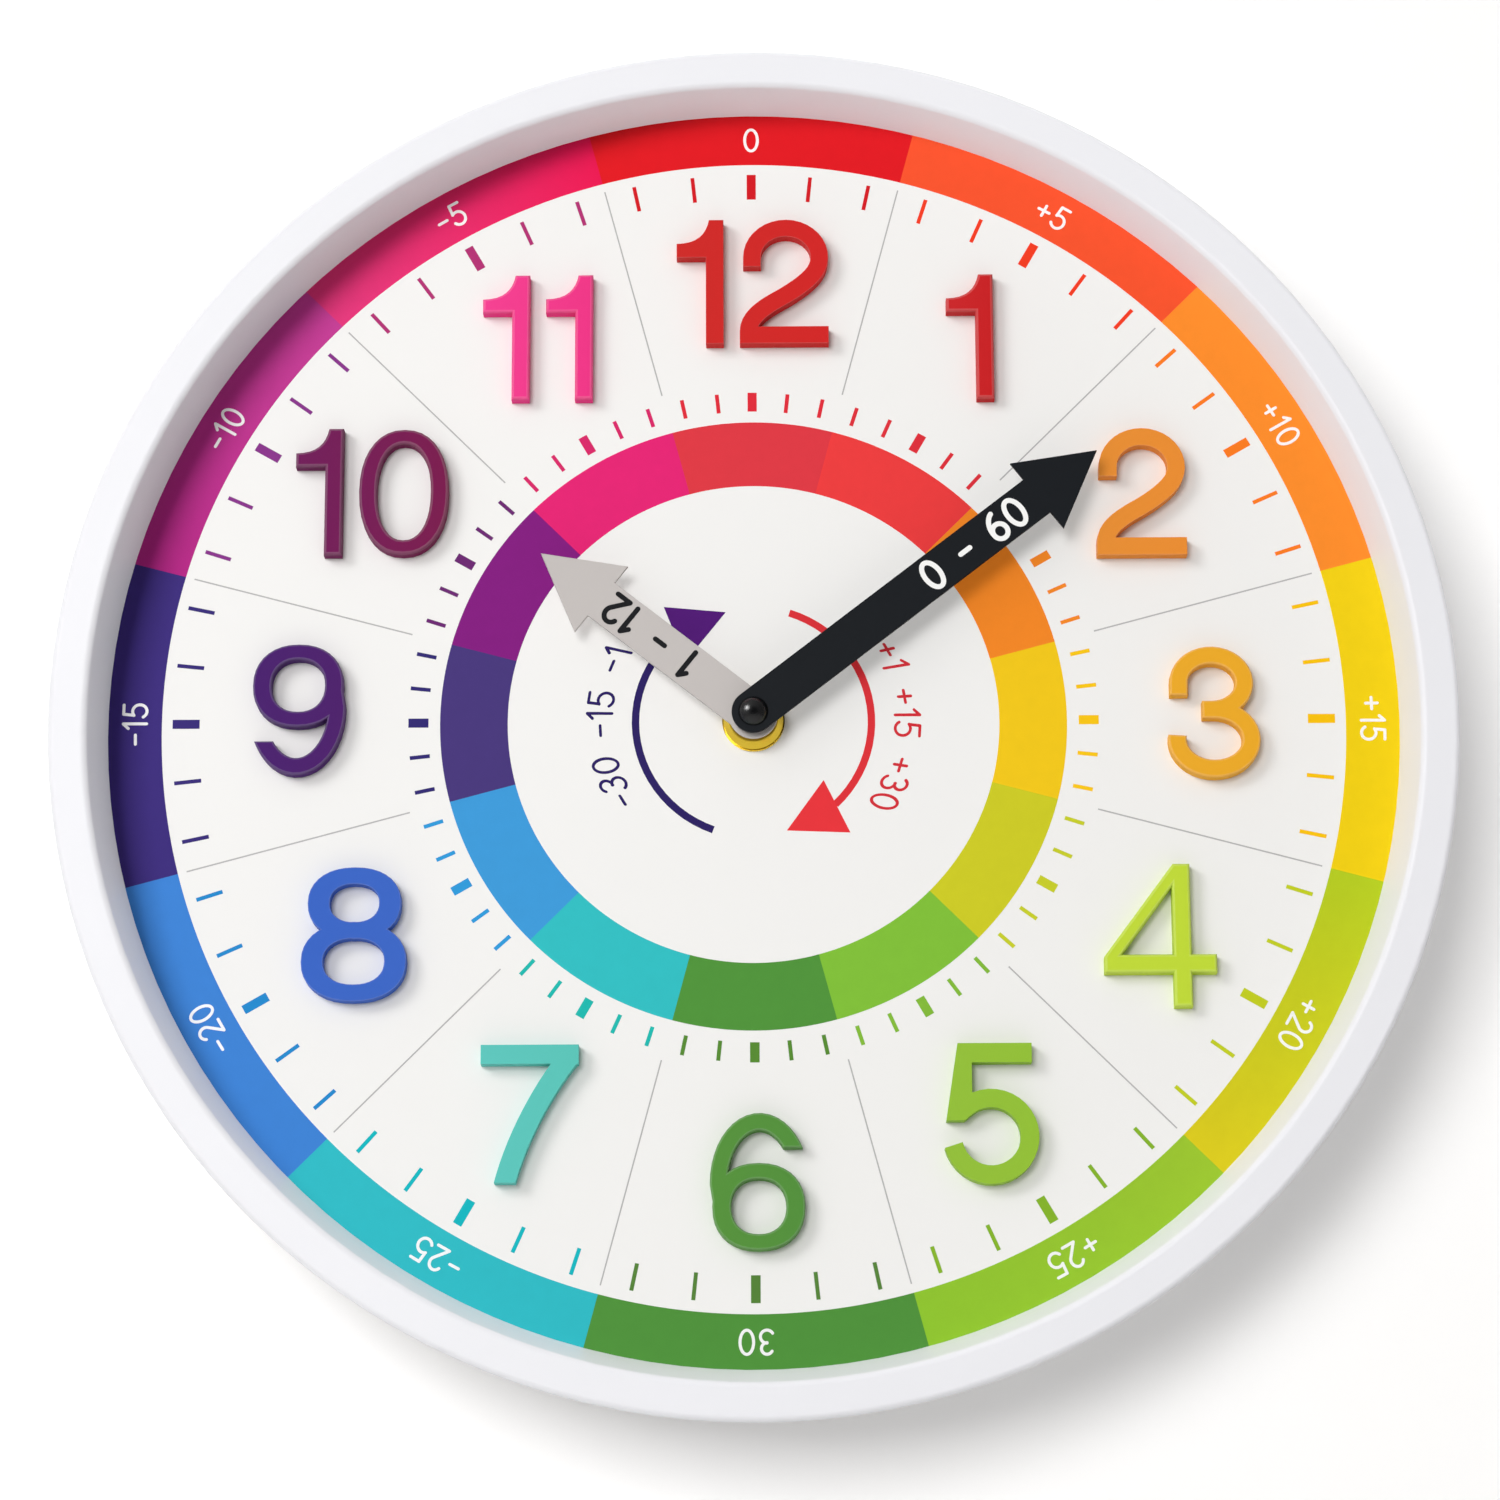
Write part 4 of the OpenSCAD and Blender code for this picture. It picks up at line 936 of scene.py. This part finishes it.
for node_name, body, slot, text, colour, middle in (
    ("minute_hand", "minute", "minute_black", "0 - 60", "#F4F4F2", 60.0),
    ("hour_hand", "hour", "hour_grey", "1 - 12", "#17181B", 28.0),
):
    front, pointing, reach = sheet_face(node_name)
    print(node_name, "points at", round(pointing, 1), "degrees and reaches", round(reach / MM, 1), "mm")
    round_front(node_name, front, PRESSED_EDGE)
    place = along_hand(pointing, middle, HAND_TEXT_HEIGHT)
    strips = write(text, HAND_TEXT_HEIGHT, HAND_PEN, place, front, linear(colour))
    print_piece(node_name + "_numbers", strips, body)

# %% [markdown]
# The stage is a plain white wall, with a pale floor far below. The wall keeps the clock's soft shadow,
# so it is a real diffuse surface. The camera also gets a little glow from it, which lifts the lit wall
# to a clean white and leaves the shadow grey. Seen from behind the wall lets the view through, and it
# throws no shadow itself, so the clock's back can be looked at and lit.

# %% Paint of the stage
def one_sided_white(name, colour, glow):
    """White paint that glows a little to the camera and in reflections, and is clear from behind."""
    material, tree, shader = new_material(
        name, Roughness=0.9, Specular_IOR_Level=0.0, Base_Color=linear(colour)
    )
    rays = add_node(tree, "LightPath").outputs
    seen = add_node(tree, "Math", {0: rays["Is Camera Ray"], 1: rays["Is Glossy Ray"]}, operation="ADD")
    lift = add_node(tree, "Math", {0: seen.outputs[0], 1: glow}, operation="MULTIPLY")
    light = add_node(tree, "Emission", {"Color": WHITE, "Strength": lift.outputs[0]})
    both = add_node(tree, "AddShader", {0: shader.outputs[0], 1: light.outputs[0]})
    behind = add_node(tree, "NewGeometry").outputs["Backfacing"]
    clear = add_node(tree, "BsdfTransparent")
    sided = add_node(tree, "MixShader", {0: behind, 1: both.outputs[0], 2: clear.outputs[0]})
    tree.links.new(sided.outputs[0], tree.nodes["Material Output"].inputs["Surface"])
    return material


white_wall = one_sided_white("white_emulsion_wall", "#F6F5F4", glow=0.125)
pale_floor = one_sided_white("pale_floor", "#EDEDEC", glow=0.1)
print("stage paints:", white_wall.name, "and", pale_floor.name)

# %% [markdown]
# Each of the two is a single face, made from its four corners, since only its shade is ever seen. The
# wall touches nothing: it stands half a millimetre behind the clock's back, as far as a hook holds a
# clock off the wallpaper.

# %% Wall and floor
WALL_GAP = 0.5 * MM
HALF_WALL, WALL_TOP, FLOOR = 3.0, 2.2, -1.5


def flat_stage(name, corners, material):
    """One flat face of the stage."""
    mesh = bpy.data.meshes.new(name)
    mesh.from_pydata(corners, [], [(0, 1, 2, 3)])
    mesh.materials.append(material)
    plane = bpy.data.objects.new(name, mesh)
    bpy.context.scene.collection.objects.link(plane)
    plane.visible_shadow = False


wall_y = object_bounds()[1].y + WALL_GAP
flat_stage(
    "wall",
    [
        (-HALF_WALL, wall_y, FLOOR),
        (HALF_WALL, wall_y, FLOOR),
        (HALF_WALL, wall_y, WALL_TOP),
        (-HALF_WALL, wall_y, WALL_TOP),
    ],
    white_wall,
)
flat_stage(
    "floor",
    [
        (-HALF_WALL, -HALF_WALL, FLOOR),
        (HALF_WALL, -HALF_WALL, FLOOR),
        (HALF_WALL, HALF_WALL, FLOOR),
        (-HALF_WALL, HALF_WALL, FLOOR),
    ],
    pale_floor,
)
print("wall at y", round(wall_y, 4))

# %% [markdown]
# A studio lights a clock with large soft boxes. Each is a square area lamp here, placed by where it
# stands as seen from the dial. Light linking can then make a lamp light only some surfaces, or all but
# those, and can name the things that block it.

# %% Helpers for lamps
def soft_lamp(name, away, clock_angle, height_angle, size, power):
    """A square area lamp that looks at the dial's centre from that many metres away.

    Its clock angle is seen from the front. Its height angle is counted from the dial's plane to the viewer.
    """
    lamp = bpy.data.objects.new(name, bpy.data.lights.new(name, "AREA"))
    lamp.data.size = size
    lamp.data.energy = power
    rise = math.radians(height_angle)
    across, up = polar(math.cos(rise), clock_angle)
    way = Vector((across, -math.sin(rise), up))
    lamp.location = dial_centre + way * away
    lamp.rotation_euler = (-way).to_track_quat("-Z", "Y").to_euler()
    bpy.context.scene.collection.objects.link(lamp)
    return lamp


def linked_objects(name, objects, state):
    """A collection for light linking, which includes or excludes its objects."""
    linked = bpy.data.collections.new(name)
    for piece in objects:
        linked.objects.link(piece)
    for entry in linked.collection_objects:
        entry.light_linking.link_state = state
    return linked


def link_light(lamp, surfaces, state, blockers=None):
    """Makes a lamp light only some surfaces (INCLUDE), or all but those (EXCLUDE).

    Everything casts shadows in its light, or only the blockers if a list of them is given.
    """
    lamp.light_linking.receiver_collection = linked_objects(lamp.name + "_surfaces", surfaces, state)
    if blockers:
        blocking = linked_objects(lamp.name + "_blockers", blockers, "INCLUDE")
        lamp.light_linking.blocker_collection = blocking


print("the dial's centre, to which the lamps look:", [round(v, 4) for v in dial_centre])

# %% [markdown]
# The main light is a large soft lamp high on the left in front, which gives the soft shadow at the lower
# right. The rim shades the coloured ring, and the numerals shade the dial, more than so high a lamp can
# do. So the printed ring has a lamp of its own, from the same side but lower, and the dial has both
# kinds. The hand cap shares the ring's lamp, which puts its highlight on its left flank. A weak lamp at
# the upper right lights the inside of the rim at the lower left. A lamp behind lights the back cover
# when the clock is looked at from there. Together with the room they add up to a plain level: a surface
# in full light shows about the colour that its material was given.

# %% Lamps
LOW = {"away": 1.8, "clock_angle": 300, "height_angle": 39, "size": 0.67}
key_lamp = soft_lamp("key_lamp", away=1.8, clock_angle=297, height_angle=69, size=0.95, power=23.2)
dial_lamp = soft_lamp("dial_lamp", away=1.8, clock_angle=297, height_angle=74, size=0.65, power=12.9)
numeral_lamp = soft_lamp("numeral_lamp", **LOW, power=12.9)
ring_lamp = soft_lamp("ring_lamp", **LOW, power=33.6)
rim_lamp = soft_lamp("rim_lamp", away=1.8, clock_angle=20, height_angle=18, size=0.9, power=6.0)
soft_lamp("back_lamp", away=1.6, clock_angle=60, height_angle=-50, size=0.9, power=12.0)

ring_print = [printed["outer_ring_print"], printed["ring_numbers_print"]]
hand_print = [printed["minute_hand_numbers"], printed["hour_hand_numbers"]]
dial_print = [piece for piece in printed.values() if piece not in ring_print + hand_print]
dial_surfaces = [nodes["dial_plate"]] + dial_print
ring_surfaces = ring_print + [nodes["hand_cap"]]
raised = [nodes[numeral_name(hour)] for hour in NUMERAL_COLOURS]
raised += [nodes["round_nut"], nodes["washer"]]

link_light(key_lamp, ring_surfaces + dial_surfaces, "EXCLUDE")
link_light(dial_lamp, dial_surfaces, "INCLUDE")
link_light(numeral_lamp, dial_surfaces, "INCLUDE", blockers=raised)
link_light(ring_lamp, ring_surfaces, "INCLUDE")
link_light(rim_lamp, [nodes["case_rim"]], "INCLUDE")

# %% [markdown]
# The world stands for the room, whose white walls fill the shadows. Its strength depends on the
# direction alone: it grows toward the window side, at the upper left, and drops to almost nothing in a
# round patch behind the viewer. So the printed dial has no veil of reflected light over its colours. A
# camera that looks past the clock, from behind it, sees a plain grey room instead. Both changes follow
# the cosine of the angle to their direction, over a soft step.

# %% Sky
DARK_ROOM = 0.05
FAR_WALLS, WINDOW_WALLS = 0.30, 0.66
SEEN_ROOM = 0.33
WINDOW_WAY = Vector((-0.72, -0.42, 0.42)).normalized()
WINDOW_SIDE = {"From Min": -0.2, "From Max": 0.9}
DARK_PATCH = {"From Min": -0.98, "From Max": -0.75}
SOFT_STEP = "SMOOTHSTEP"
NUMBER_FIRST, NUMBER_SECOND = 2, 3  # a Mix node's sockets for plain numbers

world = bpy.data.worlds.new("soft_studio")
bpy.context.scene.world = world
world.use_nodes = True
room = world.node_tree
way = add_node(room, "TexCoord").outputs["Generated"]
facing = add_node(room, "VectorMath", {0: way, 1: WINDOW_WAY}, operation="DOT_PRODUCT").outputs["Value"]
wall_range = {"Value": facing, "To Min": FAR_WALLS, "To Max": WINDOW_WALLS, **WINDOW_SIDE}
walls = add_node(room, "MapRange", wall_range, interpolation_type=SOFT_STEP).outputs["Result"]
toward_viewer = add_node(room, "SeparateXYZ", {"Vector": way}).outputs["Y"]
patch_range = {"Value": toward_viewer, "To Min": DARK_ROOM, "To Max": walls, **DARK_PATCH}
light = add_node(room, "MapRange", patch_range, interpolation_type=SOFT_STEP).outputs["Result"]
seen = add_node(room, "LightPath").outputs["Is Camera Ray"]
levels = {NUMBER_FIRST: light, NUMBER_SECOND: SEEN_ROOM}
strength = add_node(room, "Mix", {MIX_SHARE: seen, **levels}, data_type="FLOAT")

sky = room.nodes["Background"]
sky.inputs["Color"].default_value = linear("#F5F4F3")
room.links.new(strength.outputs[0], sky.inputs["Strength"])
bpy.context.scene.view_settings.view_transform = "Standard"
print("world:", world.name)
